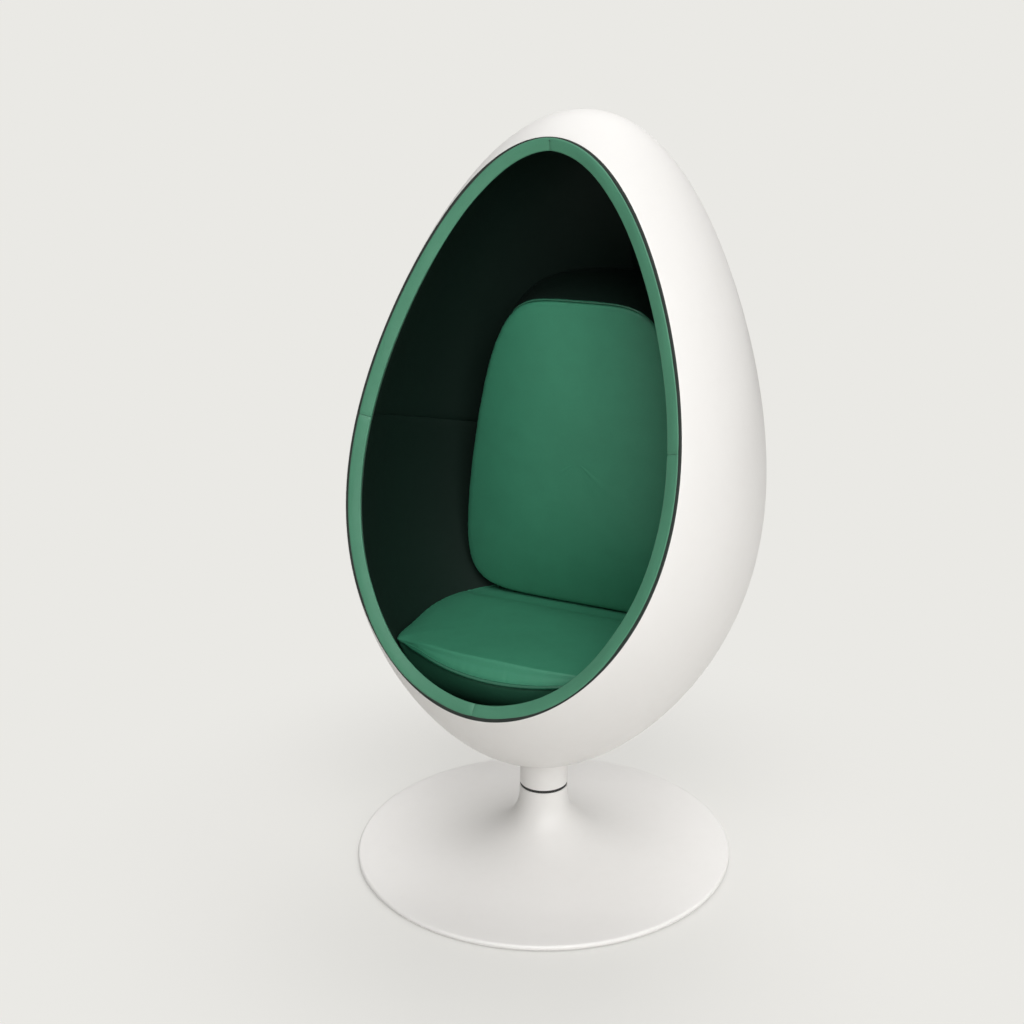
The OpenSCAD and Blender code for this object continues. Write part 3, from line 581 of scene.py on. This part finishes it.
def rimPad(name, way, side):
    section = rimSection()
    probe = np.linspace(0, 1, 400)
    x, h = quarter(probe, way, 0.0, 0.0, rim["width"] / 2)
    lengths = np.concatenate([[0], np.cumsum(np.hypot(np.diff(x), np.diff(h)))])
    along = crowded(lengths[-1], 0.0007, 0.0065) * lengths[-1]
    share = np.interp(along, lengths, probe)
    toEnd = np.minimum(along, lengths[-1] - along)
    dip = rim["seamDip"] * np.exp(-(toEnd / rim["seamReach"]) ** 1.3)
    bulge = rim["bulgeTop"] * share ** 3
    if way < 0:
        corner = np.exp(-((share - rim["footAt"]) / rim["footReach"]) ** 2)
        bulge = rim["bulgeFoot"] * (corner + rim["footEnd"] * share ** 8)
    bulge = np.maximum(bulge, rim["bulgeLeast"])
    outer = quarter(share, way, rim["inset"], 0.0), quarter(share, way, rim["inset"], 0.0, 1.0)
    inner = quarter(share, way, 0.0, 0.0), quarter(share, way, 0.0, 0.0, 1.0)

    def drawn(curve, offset):
        (x0, h0), (x1, h1) = curve
        return np.array([x0 + (x1 - x0) * offset, h0 + (h1 - h0) * offset])

    rows = []
    for across, inset, offset, b, dipShare in section:
        place = across * rim["width"]
        calm = 0.2 + 0.8 * min(1, across * 3)
        squeeze = dipShare * (rim["seamNarrow"] * dip * (1 - 2 * across) - bulge)
        if offset is None:
            x, h = drawn(outer, rim["outerRound"] + squeeze) * (1 - across)
            x1, h1 = drawn(inner, rim["width"] - rim["innerRound"] + squeeze) * across
            x, h = x + x1, h + h1
        elif inset:
            x, h = quarter(share, way, inset, b)
        else:
            x, h = drawn(inner if across else outer, offset + squeeze)
        rise = rim["bulgeRise"] * np.minimum(1, bulge / rim["bulgeFull"]) * (1 - across)
        soft = rim["unevenness"] * np.sin(along * 43 + place * 90 + 2 * side)
        depth = b + dipShare * (calm * (dip + soft) - rise)
        h[0] += way * rim["seamGap"]
        x = np.maximum(x, rim["seamGap"])
        x[-1] = rim["seamGap"]
        rows.append(openingToRow(side * x, h, depth))
    rings = np.stack(rows, 1)
    caps = [rings[0].mean(0), rings[-1].mean(0)]
    return loftPiece(name, rings, "rim_vinyl", "pod", name[:-6], ends=caps)


print("Outer shell")
outerShell()
print("Edge trim")
edgeTrim()
for side, word in ((1, "right"), (-1, "left")):
    for way, level in ((1, "upper"), (-1, "lower")):
        rimPad(f"rim_pad_{level}_{word}_cover", way, side)
print("Rim padding")


# Lining: four padded panels with rolled seams
lining = {
    "inset": 0.0267, "backInset": 0.0044, "front": 0.0304, "gap": 0.0002, "seamPull": 0.0042,
    "seamReach": 0.0065, "boardZ": 0.3224, "ripple": 0.0011, "rayCount": 160, "rows": 0.6,
    "columns": 0.75, "fine": 0.0012, "coarse": 0.014,
}


# Rows of a panel: planes that turn from the side seam up or down to the rim's end, each cut with the egg
def liningSurface(way, inset, rowShare, colShare):
    b0, rise = lining["front"], egg["seamRise"]
    start = egg["seamHeight"] + b0 * tan(rise) + way * lining["gap"] / 2
    end = curveEnd(way, inset, b0, start)
    last = atan((curveEnd(way, inset, b0 + 0.001, start) - end) / 0.001)
    h0 = (start + (end - start) * np.sin(rowShare * pi / 2))[:, None]
    turn = (rise + (last - rise) * rowShare ** 1.3)[:, None]
    ray = np.linspace(0, pi / 2, lining["rayCount"])[None, :]
    low = np.zeros((len(rowShare), lining["rayCount"]))
    high = low + egg["halfLength"] * 2
    for _ in range(32):
        middle = (low + high) / 2
        along = middle * np.sin(ray)
        y, z = openingToEgg(h0 + along * np.sin(turn), b0 + along * np.cos(turn))
        inside = np.hypot(middle * np.cos(ray), y) < radiusAt(z, inset)
        low, high = np.where(inside, middle, low), np.where(inside, high, middle)
    x, s = low * np.cos(ray), low * np.sin(ray)
    h, b = h0 + s * np.sin(turn), b0 + s * np.cos(turn)
    found = []
    for row in range(len(rowShare)):
        steps = np.sqrt(np.diff(x[row]) ** 2 + np.diff(h[row]) ** 2 + np.diff(b[row]) ** 2)
        lengths = np.concatenate([[0], np.cumsum(steps)])
        places = colShare * lengths[-1]
        found.append([np.interp(places, lengths, line) for line in (x[row], h[row], b[row])])
    return np.moveaxis(np.array(found), 1, 0)


def liningPanel(name, way, side):
    rowShare = crowded(lining["rows"], lining["fine"], lining["coarse"])
    colShare = crowded(lining["columns"], lining["fine"], lining["coarse"])
    surfaces = []
    for inset in (lining["backInset"], lining["inset"]):
        x, h, b = liningSurface(way, inset, rowShare, colShare)
        surfaces.append(openingToRow(np.maximum(x, lining["gap"] / 2), h, b))
    seamAway = np.abs(h - egg["seamHeight"] - b * tan(egg["seamRise"]))
    back, front = surfaces
    through = back - front
    through /= np.maximum(np.linalg.norm(through, axis=-1), 1e-9)[..., None]
    toRim = np.linalg.norm(front - front[:, :1], axis=-1)
    away = seamAway, np.abs(front[..., 0]), toRim
    pull = np.minimum(1, sum(np.exp(-(d / lining["seamReach"]) ** 1.2) for d in away))
    wave = np.array([noise.noise(Vector(p) * 9.0) for p in front.reshape(-1, 3)]).reshape(pull.shape)
    push = lining["seamPull"] * pull + lining["ripple"] * (wave + 0.4) * (1 - pull)
    front = front + through * np.maximum(push, 0)[..., None]
    for grid in (front, back):
        grid[..., 0] *= side
    rows, columns = seamAway.shape
    points = np.concatenate([front.reshape(-1, 3), back.reshape(-1, 3)])
    count = rows * columns
    faces = gridFaces(rows, columns, closedColumns=False)
    faces += [f[::-1] for f in gridFaces(rows, columns, closedColumns=False, first=count)]
    edge = list(range(columns)) + [i * columns + columns - 1 for i in range(1, rows)]
    edge += [(rows - 1) * columns + j for j in range(columns - 2, -1, -1)]
    edge += [i * columns for i in range(rows - 2, 0, -1)]
    for a, b in zip(edge, edge[1:] + edge[:1]):
        faces.append((a, b, b + count, a + count))
    piece = addPiece(name + "_panel", points, faces, "lining_vinyl", "pod", name)
    cut = bmesh.new()
    cut.from_mesh(piece.data)
    parts = cut.verts[:] + cut.edges[:] + cut.faces[:]
    level = (0, 0, lining["boardZ"])
    bmesh.ops.bisect_plane(cut, geom=parts, plane_co=level, plane_no=(0, 0, -1), clear_outer=True)
    bmesh.ops.holes_fill(cut, edges=[e for e in cut.edges if e.is_boundary], sides=0)
    bmesh.ops.recalc_face_normals(cut, faces=cut.faces)
    cut.to_mesh(piece.data)
    cut.free()
    piece.data.shade_smooth()
    return piece


for side, word in ((1, "right"), (-1, "left")):
    for way, level in ((1, "upper"), (-1, "lower")):
        liningPanel(f"lining_{level}_{word}", way, side)
print("Lining")


# Filling: a cloth run swells the cover between its sewn rows. The movement is scaled down to the cap,
# smoothed and kept where it is allowed
cloth = {
    "quality": 6, "mass": 0.25, "tension_stiffness": 25, "compression_stiffness": 25,
    "shear_stiffness": 12, "bending_stiffness": 6, "air_damping": 6,
}
fillFrames = 20


def fill(rings, sewnRows, pressure, cap, allowed, ease=1.0):
    rows, columns = rings.shape[:2]
    points, faces = loftMesh(rings, (rings[0].mean(0), rings[-1].mean(0)))
    mesh = bpy.data.meshes.new("cover")
    mesh.from_pydata([tuple(p) for p in points], [], faces)
    outward = bmesh.new()
    outward.from_mesh(mesh)
    bmesh.ops.recalc_face_normals(outward, faces=outward.faces)
    outward.to_mesh(mesh)
    outward.free()
    normals = vectors(mesh.vertex_normals, "vector")[:rows * columns]
    cover = added("cover", mesh)
    sewn = cover.vertex_groups.new(name="sewn")
    held = [row * columns + j for row in sewnRows for j in range(columns)] + [rows * columns + 1]
    sewn.add(held, 1.0, "REPLACE")
    run = cover.modifiers.new("filling", "CLOTH")
    for name, value in cloth.items():
        setattr(run.settings, name, value)
    run.settings.use_pressure = True
    run.settings.uniform_pressure_force = pressure
    run.settings.vertex_group_mass = "sewn"
    run.settings.effector_weights.gravity = 0
    run.collision_settings.use_collision = False
    run.point_cache.frame_start = 1
    run.point_cache.frame_end = fillFrames
    for step in range(1, fillFrames + 1):
        bpy.context.scene.frame_set(step)
    swollen = cover.evaluated_get(bpy.context.evaluated_depsgraph_get())
    new = vectors(swollen.data.vertices, "co")[:rows * columns]
    bpy.context.scene.frame_set(1)
    bpy.data.objects.remove(cover)
    old = rings.reshape(-1, 3)
    size = np.linalg.norm(new - old, axis=1)
    most = int(size.argmax())
    far = float(size[most]) * 1000
    out = float((new - old)[most] @ normals[most]) * 1000
    print("  filled: largest move", round(far, 1), "mm, outward", round(out, 1), "mm")
    move = ((new - old) * min(1, cap / max(size[most], 1e-9))).reshape(rings.shape)
    free = np.ones((rows, 1, 1))
    free[list(sewnRows)] = 0
    for _ in range(8):
        beside = np.roll(move, 1, 1) + np.roll(move, -1, 1)
        across = np.concatenate([move[:1], move[:-1]]) + np.concatenate([move[1:], move[-1:]])
        move = free * (2 * move + beside + across) / 6
    move = (move * ease).reshape(-1, 3)
    return lastWithin(old, old + move, allowed).reshape(rings.shape)


def vectors(items, name):
    found = np.zeros(len(items) * 3, np.float32)
    items.foreach_get(name, found)
    return found.reshape(-1, 3).astype(float)


# One subdivision of a grid of closed rings
def subdivided(rings):
    along = (np.roll(rings, 1, 1) + 6 * rings + np.roll(rings, -1, 1)) / 8
    between = (rings + np.roll(rings, -1, 1)) / 2
    rings = np.stack([along, between], 2).reshape(len(rings), -1, 3)
    made = np.repeat(rings, 2, 0)[:-1]
    made[2:-2:2] = (rings[:-2] + 6 * rings[1:-1] + rings[2:]) / 8
    made[1::2] = (rings[:-1] + rings[1:]) / 2
    return made


# Distance from each point to the nearest of some points on a seam
def distanceTo(points, seam):
    tree = kdtree.KDTree(len(seam))
    for index, place in enumerate(seam):
        tree.insert(Vector(place), index)
    tree.balance()
    found = [tree.find(Vector(p)) for p in points]
    return np.array([f[2] for f in found]), np.array([f[1] for f in found])


# Seat cushion: a crowned top, a front border that runs out at its sides, and a rounded belly
seat = {
    "edgeZ": 0.414, "crown": 0.009, "crownPower": 3.07, "fall": radians(1.5), "frontLift": 0.007,
    "front": 0.176, "bow": 0.036, "frontHalfWidth": 0.22, "borderOut": 0.016, "borderDrop": 0.0225,
    "borderHalfWidth": 0.195, "borderLeast": 0.002, "tuckIn": 3.0, "tuckPower": 2.2, "bottomIn": 2.0,
    "sideDrop": 0.005, "cornerDrop": 0.011, "cornerFrom": 0.14, "cornerRun": 0.06, "sideGap": 0.016,
    "beamAt": 0.05, "beamReach": 0.4, "bottomZ": 0.3224, "foldY": 0.1336, "foldCalm": 0.08,
    "clear": 0.0271, "around": 192, "topRows": 26, "borderRows": 6, "bellyRows": 14, "startShare": 0.8,
    "pressure": 4.0, "cap": 0.005, "piping": 0.0034, "pipingEase": 0.03, "unevenness": 0.0007,
    "pucker": 0.0011,
}
seat["middleY"] = (seat["foldY"] + 0.0004 - seat["front"]) / 2


def smooth(t):
    t = np.clip(t, 0, 1)
    return t * t * (3 - 2 * t)


def borderShare(x):
    return np.maximum(0, 1 - (x / seat["borderHalfWidth"]) ** 2)


def seatRing(u=1.0, rise=0.0, border=0.0, down=0.0, out=0.0):
    angle = 2 * pi * np.arange(seat["around"]) / seat["around"]
    way = np.stack([np.cos(angle), np.sin(angle), 0 * angle], -1) * egg["radius"]
    beam = np.exp(-((np.sin(angle) + seat["beamAt"]) / seat["beamReach"]) ** 2)  # most at the sides

    def heightAt(x):
        drop = seat["borderDrop"] * borderShare(x) + seat["borderLeast"]
        seam = seat["edgeZ"] + seat["crown"] * rise - drop * border
        return seam + (seat["bottomZ"] - seam) * down

    def risen(p):
        lift = np.maximum(0, seat["foldY"] - p[..., 1]) * tan(seat["fall"]) * (1 - down)
        return p + np.stack([0 * lift, 0 * lift, lift], -1)

    def allowed(p):
        x = p[..., 0]
        stand = seat["borderOut"] * (out * borderShare(x) if out > 0 else out + 0 * x)
        bowed = seat["bow"] * (x / seat["frontHalfWidth"]) ** 2 - seat["front"] - stand
        return withinEgg(risen(p), seat["clear"]) & (p[..., 1] > bowed)

    def reach(x):
        middle = np.stack([0 * x, seat["middleY"] + 0 * x, heightAt(x)], -1)
        return middle, lastWithin(middle, middle + way, allowed) - middle

    middle, full = reach(0 * angle + seat["frontHalfWidth"])
    middle, full = reach(full[:, 0])
    size = np.linalg.norm(full, axis=1)
    full *= (1 - seat["sideGap"] * beam / size)[:, None]
    toFold = (seat["foldY"] - seat["middleY"]) / np.maximum(np.sin(angle), 1e-6)
    fold = np.where(np.sin(angle) > 0, toFold, 1e3)
    tuck = np.clip((u - 0.95) / 0.05, 0, 1) ** 2
    limit = np.minimum(1, fold / size) * (1 - tuck) + tuck
    ring = risen(middle + full * (u * limit)[:, None])
    forward = np.maximum(0, -np.sin(angle)) ** 2
    ring[:, 2] += seat["frontLift"] * forward * (u if border == 0 and down == 0 else 0)
    beside = smooth((np.abs(ring[:, 0]) - seat["cornerFrom"]) / seat["cornerRun"])
    frontal = np.clip(-np.sin(angle) * 3, 0, 1)
    side = (1 - frontal * (1 - beside)) * (1 - down)
    ring[:, 2] -= (seat["sideDrop"] + seat["cornerDrop"] * beam) * side * u ** 9
    beneath = ring[:, 1] > seat["foldY"] + 0.0005
    ring[beneath, 2] = np.minimum(ring[beneath, 2], seat["edgeZ"])
    return ring


def seatRings(share):
    rings, marks = [], {}
    for u in np.linspace(0.05, 1, seat["topRows"]) ** 0.85:
        rings.append(seatRing(u, share * (1 - u ** seat["crownPower"])))
    marks["top"] = len(rings) - 1
    for v in np.linspace(0, 1, seat["borderRows"] + 1)[1:]:
        rings.append(seatRing(border=v, out=v))
    marks["welt"] = len(rings) - 1
    for d in np.linspace(0, 1, seat["bellyRows"] + 1)[1:]:
        out = 1 - seat["tuckIn"] * d ** seat["tuckPower"]
        rings.append(seatRing(u=1 - 0.06 * max(0, d - 0.8) / 0.2, border=1, down=d, out=out))
    marks["bottom"] = len(rings) - 1
    for u in (0.8, 0.6, 0.4, 0.2):
        rings.append(seatRing(u=u, border=1, down=1, out=-seat["bottomIn"]))
    return np.array(rings), marks


def seatCushion():
    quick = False
    rings, marks = seatRings(1.0 if quick else seat["startShare"])
    if not quick:
        sewn = [marks["top"], marks["welt"]] + list(range(marks["bottom"] - 1, len(rings)))

        def allowed(p):
            return withinEgg(p, seat["clear"]) & (p[..., 2] < seat["edgeZ"] + 0.02) & (
                (p[..., 2] < seat["edgeZ"] + 0.0002) | (p[..., 1] < seat["foldY"] + 0.001))

        calm = smooth((seat["foldY"] - rings[..., 1:2]) / seat["foldCalm"])
        rings = fill(rings, sewn, seat["pressure"], seat["cap"], allowed, calm)
    welt = rings[marks["welt"]].copy()
    rings = subdivided(rings)
    ends = (rings[0].mean(0), rings[-1].mean(0))
    piece = loftPiece("seat_cushion_cover", rings, "cushion_vinyl", "pod", "seat_cushion", ends=ends)
    # Below the welt the belly takes the darker vinyl copy, as painted shade
    piece.data.materials.append(finishes["belly_painted_shade_vinyl"])
    for face in piece.data.polygons:
        face.material_index = int(min(face.vertices) // rings.shape[1] >= 2 * marks["welt"])
    settle(piece, welt, seat["unevenness"], seat["pucker"])
    reach = seat["borderHalfWidth"] + 0.004
    path = welt[(welt[:, 1] < -0.02) & (np.abs(welt[:, 0]) < reach)] - [0, 0.0008, 0]
    ease = np.clip((reach - np.abs(path[:, 0])) / seat["pipingEase"], 0.25, 1)
    addPiping("seat_piping", path, seat["piping"] * ease)


# Small unevenness: soft noise over the cover, a dip beside its seam and fine puckers that run into it
sewing = {
    "reach": 0.014, "flat": 0.003, "dip": 0.0012, "dipAt": 0.0035, "dipWidth": 0.0028, "calm": 0.02,
}


def settle(piece, seam, unevenness, pucker):
    mesh = piece.data
    points, normals = vectors(mesh.vertices, "co"), vectors(mesh.vertex_normals, "vector")
    soft = np.array([noise.noise(Vector(p) * 11) + 0.5 * noise.noise(Vector(p) * 27) for p in points])
    away, nearest = distanceTo(points, seam)
    phase = np.array([noise.noise(Vector(place) * 120) for place in seam])[nearest]
    waves = phase * np.exp(-away / sewing["reach"]) * (1 - np.exp(-away / sewing["flat"]))
    dip = sewing["dip"] * np.exp(-((away - sewing["dipAt"]) / sewing["dipWidth"]) ** 2)
    move = unevenness * soft * (1 - np.exp(-away / sewing["calm"])) + pucker * waves - dip
    moved = points + normals * move[:, None]
    mesh.vertices.foreach_set("co", moved.astype(np.float32).ravel())
    mesh.update()


# Back cushion: a superellipse face with a broad crown, boxed sides that draw in, and piping at the top
backPad = {
    "halfWidth": 0.2235, "height": 0.562, "frontY": 0.158, "faceLean": radians(2.5), "crown": 0.024,
    "crownPower": 3.5, "drawIn": 0.005, "sideSlant": radians(28), "topSlant": radians(11.5),
    "widthShares": (1, -0.23, -0.095), "cornerPowers": (5.2, 6.2), "clear": 0.0291, "bottomZ": 0.4144,
    "around": 208, "faceRows": 26, "sideRows": 14, "startShare": 0.85, "pressure": 4.0, "cap": 0.013,
    "piping": 0.0016, "pipingDrop": 0.035, "pipingEase": 0.05, "unevenness": 0.0009, "pucker": 0.0012,
}
backPad["middleZ"] = backPad["bottomZ"] + backPad["height"] / 2


def backOutline():
    a = np.linspace(0, 2 * pi, 6001)
    power = np.where(np.sin(a) > 0, *backPad["cornerPowers"])
    v = np.sign(np.sin(a)) * np.abs(np.sin(a)) ** (2 / power)
    u = np.sign(np.cos(a)) * np.abs(np.cos(a)) ** (2 / power)
    w = backPad["widthShares"]
    x = u * (w[0] + w[1] * v + w[2] * v * v) * backPad["halfWidth"]
    z = v * backPad["height"] / 2
    lengths = np.concatenate([[0], np.cumsum(np.hypot(np.diff(x), np.diff(z)))])
    places = (np.arange(backPad["around"]) + 0.5) / backPad["around"] * lengths[-1]
    return np.interp(places, lengths, x), np.interp(places, lengths, z)


def backRing(size, share, crown, draw=0.0):
    x, z = backOutline()
    drawn = size * (1 - draw * backPad["drawIn"] / backPad["halfWidth"])
    x, up = drawn * x, drawn * z
    height = backPad["middleZ"] + up
    faceY = backPad["frontY"] - (height - backPad["bottomZ"]) * tan(backPad["faceLean"])
    front = np.stack([x, faceY, height], -1)
    outward = x / backPad["halfWidth"] * tan(backPad["sideSlant"])
    upward = np.maximum(0, 2 * up / backPad["height"]) * tan(backPad["topSlant"])
    slant = np.stack([outward, 1 + 0 * x, upward], -1)
    rear = lastWithin(front, front + egg["radius"] * slant, lambda p: withinEgg(p, backPad["clear"]))
    ring = front + (rear - front) * share
    ring[:, 1] -= backPad["crown"] * crown
    return ring


def backCushion():
    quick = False
    share = 1.0 if quick else backPad["startShare"]
    rings = []
    for u in np.linspace(0.04, 1, backPad["faceRows"]) ** 0.9:
        rings.append(backRing(u, 0, share * (1 - u ** backPad["crownPower"])))
    weltRow = len(rings) - 1
    for t in np.linspace(0, 1, backPad["sideRows"] + 1)[1:]:
        rings.append(backRing(1 - 0.02 * t ** 6, 0.96 * t, 0, sin(pi * t)))
    rearRow = len(rings) - 1
    for size in (0.95, 0.85, 0.7, 0.5, 0.3, 0.12):
        rings.append(backRing(size, 1, 0))
    rings = np.array(rings)
    if not quick:
        def allowed(p):
            return withinEgg(p, backPad["clear"]) & (p[..., 2] > backPad["bottomZ"])

        sewn = [weltRow] + list(range(rearRow, len(rings)))
        rings = fill(rings, sewn, backPad["pressure"], backPad["cap"], allowed)
    welt = rings[weltRow].copy()
    rings = subdivided(rings)
    ends = (rings[0].mean(0), rings[-1].mean(0))
    piece = loftPiece("back_cushion_cover", rings, "cushion_vinyl", "pod", "back_cushion", ends=ends)
    # The boxing behind the welt takes the dark lining vinyl: painted shade for the cushion's top and
    # sides, which lie in shade
    piece.data.materials.append(finishes["lining_vinyl"])
    for face in piece.data.polygons:
        face.material_index = int(min(face.vertices) // rings.shape[1] > 2 * weltRow)
    settle(piece, welt, backPad["unevenness"], backPad["pucker"])
    lowest = backPad["bottomZ"] + backPad["height"] - backPad["pipingDrop"]
    path = welt[welt[:, 2] > lowest] - [0, 0.0006, -0.0004]
    toEnd = np.linalg.norm(path[:, None] - path[[0, -1]][None], axis=2).min(1)
    ease = np.clip(toEnd / backPad["pipingEase"], 0.12, 1)
    addPiping("back_cushion_piping", path, backPad["piping"] * ease)


print("Seat cushion")
seatCushion()
print("Back cushion")
backCushion()


# Base: a spun trumpet with a lacquered edge
base = {
    "radius": 0.336, "neckRadius": 0.043, "neckZ": 0.127, "power": 2.8, "wall": 0.0035, "ballast": 0.006,
    "pad": 0.0025, "bore": 0.0303, "lipHeight": 0.012, "round": 0.0009, "steps": 96, "around": 256,
    "gap": 0.0002,
}


def flare(topR, topZ, lowR, lowZ):
    t = np.radians(np.linspace(0, 90, base["steps"] + 1))
    k = 2 / base["power"]
    r = topR + (lowR - topR) * (1 - np.cos(t) ** k)
    z = lowZ + (topZ - lowZ) * (1 - np.sin(t) ** k)
    return list(zip(r, z))


def lathe(name, profile, slot, body, replaced, around):
    angle = 2 * pi * np.arange(around) / around
    rings = [np.stack([r * np.cos(angle), r * np.sin(angle), z + 0 * angle], -1) for r, z in profile]
    return loftPiece(name, rings, slot, body, replaced, closed=True)


def arc(centre, radius, first, last, steps):
    angles = np.radians(np.linspace(first, last, steps))
    return [(centre[0] + radius * cos(a), centre[1] + radius * sin(a)) for a in angles]


def trumpetBase():
    hollowTop = base["pad"] + base["ballast"] + base["gap"]
    discTop = hollowTop + base["wall"]
    edge = (discTop - base["pad"]) / 2
    r = base["round"]
    shoulder = base["neckZ"] - r
    outline = [(base["bore"], shoulder)] + arc((base["bore"] + r, shoulder), r, 170, 90, 4)
    outline += arc((base["neckRadius"] - r, shoulder), r, 90, 10, 6)
    outline += flare(base["neckRadius"], shoulder, base["radius"] - edge, discTop)
    outline += arc((base["radius"] - edge, discTop - edge), edge, 84, -84, 17)
    outline += [(base["radius"] - edge, base["pad"]), (base["radius"] - 2 * edge, base["pad"])]
    hollow = flare(base["neckRadius"] - 2 * base["wall"], base["neckZ"] - base["lipHeight"],
                   base["radius"] - 2 * edge, hollowTop)
    outline += hollow[::-2] + [(base["bore"], base["neckZ"] - base["lipHeight"])]
    return lathe("base_trumpet", outline, "gel_coat_base", "base", "base_shell", base["around"])


# Dark seal ring: two lips with a groove between them
seal = {
    "outer": 0.042, "inner": 0.0303, "low": 0.127, "high": 0.132, "round": 0.0008, "groove": 0.0007,
    "around": 160,
}


def sealRing():
    low, high, outer, r = seal["low"], seal["high"], seal["outer"], seal["round"]
    middle = (low + high) / 2
    outline = [(seal["inner"], low), (outer - r, low)] + arc((outer - r, low + r), r, -60, 30, 4)
    outline += [(outer - seal["groove"], middle - r / 2), (outer - seal["groove"], middle + r / 2)]
    outline += arc((outer - r, high - r), r, -30, 60, 4) + [(outer - r, high), (seal["inner"], high)]
    return lathe("dust_seal", outline, "seal_rubber", "base", "dust_ring", seal["around"])


# Collar: a short tube whose top follows the shell's curve
collar = {"radius": 0.0425, "wall": 0.003, "low": 0.1323, "gap": 0.0002, "round": 0.0008, "around": 192}


def neckCollar():
    angle = 2 * pi * np.arange(collar["around"]) / collar["around"]
    r = collar["round"]
    profile = [(collar["radius"], 1.0), (collar["radius"], 0.6), (collar["radius"], 0.2)]
    profile += [(collar["radius"], r)] + arc((collar["radius"] - r, r), r, -20, -90, 4)
    inner = collar["radius"] - collar["wall"]
    profile += [(inner, 0.0), (inner, 1.0)]
    rings = []
    for radius, rise in profile:
        x, y = radius * np.cos(angle), radius * np.sin(angle)
        foot = np.stack([x, y, collar["low"] + 0 * x], -1)
        top = lastWithin(foot, foot + [0, 0, 0.12], lambda p: ~withinEgg(p, -collar["gap"]))
        lift = rise if rise < 0.002 else rise * (top[:, 2] - collar["low"])
        rings.append(foot + np.stack([0 * x, 0 * x, lift + 0 * x], -1))
    return loftPiece("collar_sleeve", rings, "gel_coat_base", "pod", "neck_collar", closed=True)


trumpetBase()
sealRing()
neckCollar()
print("Base, seal and collar")


# Studio: a pale floor that fades into the backdrop's colour, and five large lamps. The two behind the
# chair aren't mirrored, since at a grazing angle their reflections would clip
studio = {
    "paper": (0.823, 0.815, 0.783), "floorTone": (0.74, 0.73, 0.705), "fadeFrom": 0.33, "fadeTo": 0.95,
    "fadeLeast": 0.5, "ambient": 0.1, "inMirrors": 0.6, "floorSize": 30.0, "lampAim": (0, 0, 0.65),
    "lampDistance": 4.8,
}
lights = {
    "high": {"azimuth": 28, "elevation": 60, "size": 3.2, "energy": 112},
    "side": {"azimuth": 36, "elevation": 26, "size": 3.0, "energy": 108},
    "low": {"azimuth": 66, "elevation": 16, "size": 3.0, "energy": 38},
    "back": {"azimuth": 200, "elevation": 50, "size": 3.6, "energy": 152, "mirrored": False},
    "rear": {"azimuth": 114, "elevation": 18, "size": 3.0, "energy": 20, "mirrored": False},
}


def addFloor():
    s = Shader("studio floor")
    place = s.node("ShaderNodeNewGeometry", output="Position")
    away = s.node("ShaderNodeVectorMath", {"operation": "LENGTH"}, {0: place}, output="Value")
    fade = s.node("ShaderNodeMapRange", {"interpolation_type": "SMOOTHSTEP"}, {
        "Value": away, "From Min": studio["fadeFrom"], "From Max": studio["fadeTo"]})
    fade = fade * (1 - studio["fadeLeast"]) + studio["fadeLeast"]
    path = s.node("ShaderNodeLightPath", output="Is Camera Ray")
    lit = s.node("ShaderNodeBsdfDiffuse", None, {"Color": (*studio["floorTone"], 1)})
    paper = s.node("ShaderNodeEmission", None, {"Color": (*studio["paper"], 1), "Strength": 1.0})
    mixed = s.node("ShaderNodeMixShader", None, {0: fade * path, 1: lit, 2: paper})
    s.node("ShaderNodeOutputMaterial", None, {"Surface": mixed})
    half = studio["floorSize"] / 2
    corners = [(-half, -half, 0), (half, -half, 0), (half, half, 0), (-half, half, 0)]
    mesh = bpy.data.meshes.new("floor")
    mesh.from_pydata(corners, [], [(0, 1, 2, 3)])
    mesh.materials.append(s.material)
    added("floor", mesh)


def addWorld():
    world = bpy.data.worlds.new("studio")
    bpy.context.scene.world = world
    s = Shader("studio", world)
    seen = s.node("ShaderNodeLightPath", output="Is Camera Ray")
    seen = seen + s.node("ShaderNodeLightPath", output="Is Glossy Ray") * studio["inMirrors"]
    seen = seen + s.node("ShaderNodeLightPath", output="Is Transmission Ray")
    strength = s.ramp(seen, 0.0, 1.0) * (1 - studio["ambient"]) + studio["ambient"]
    light = s.node("ShaderNodeBackground", None, {"Color": (*studio["paper"], 1), "Strength": strength})
    s.node("ShaderNodeOutputWorld", None, {"Surface": light})


def addLights():
    for name, row in lights.items():
        data = bpy.data.lights.new(name, "AREA")
        data.shape = "SQUARE"
        data.size = row["size"]
        data.energy = row["energy"]
        lamp = added(name, data)
        lamp.visible_glossy = row.get("mirrored", True)
        away = towards(radians(row["azimuth"]), radians(row["elevation"]))
        lamp.location = Vector(studio["lampAim"]) + away * studio["lampDistance"]
        lamp.rotation_euler = (-away).to_track_quat("-Z", "Y").to_euler()


addFloor()
addWorld()
addLights()
bpy.context.scene.view_settings.view_transform = "Standard"
print("Studio set")
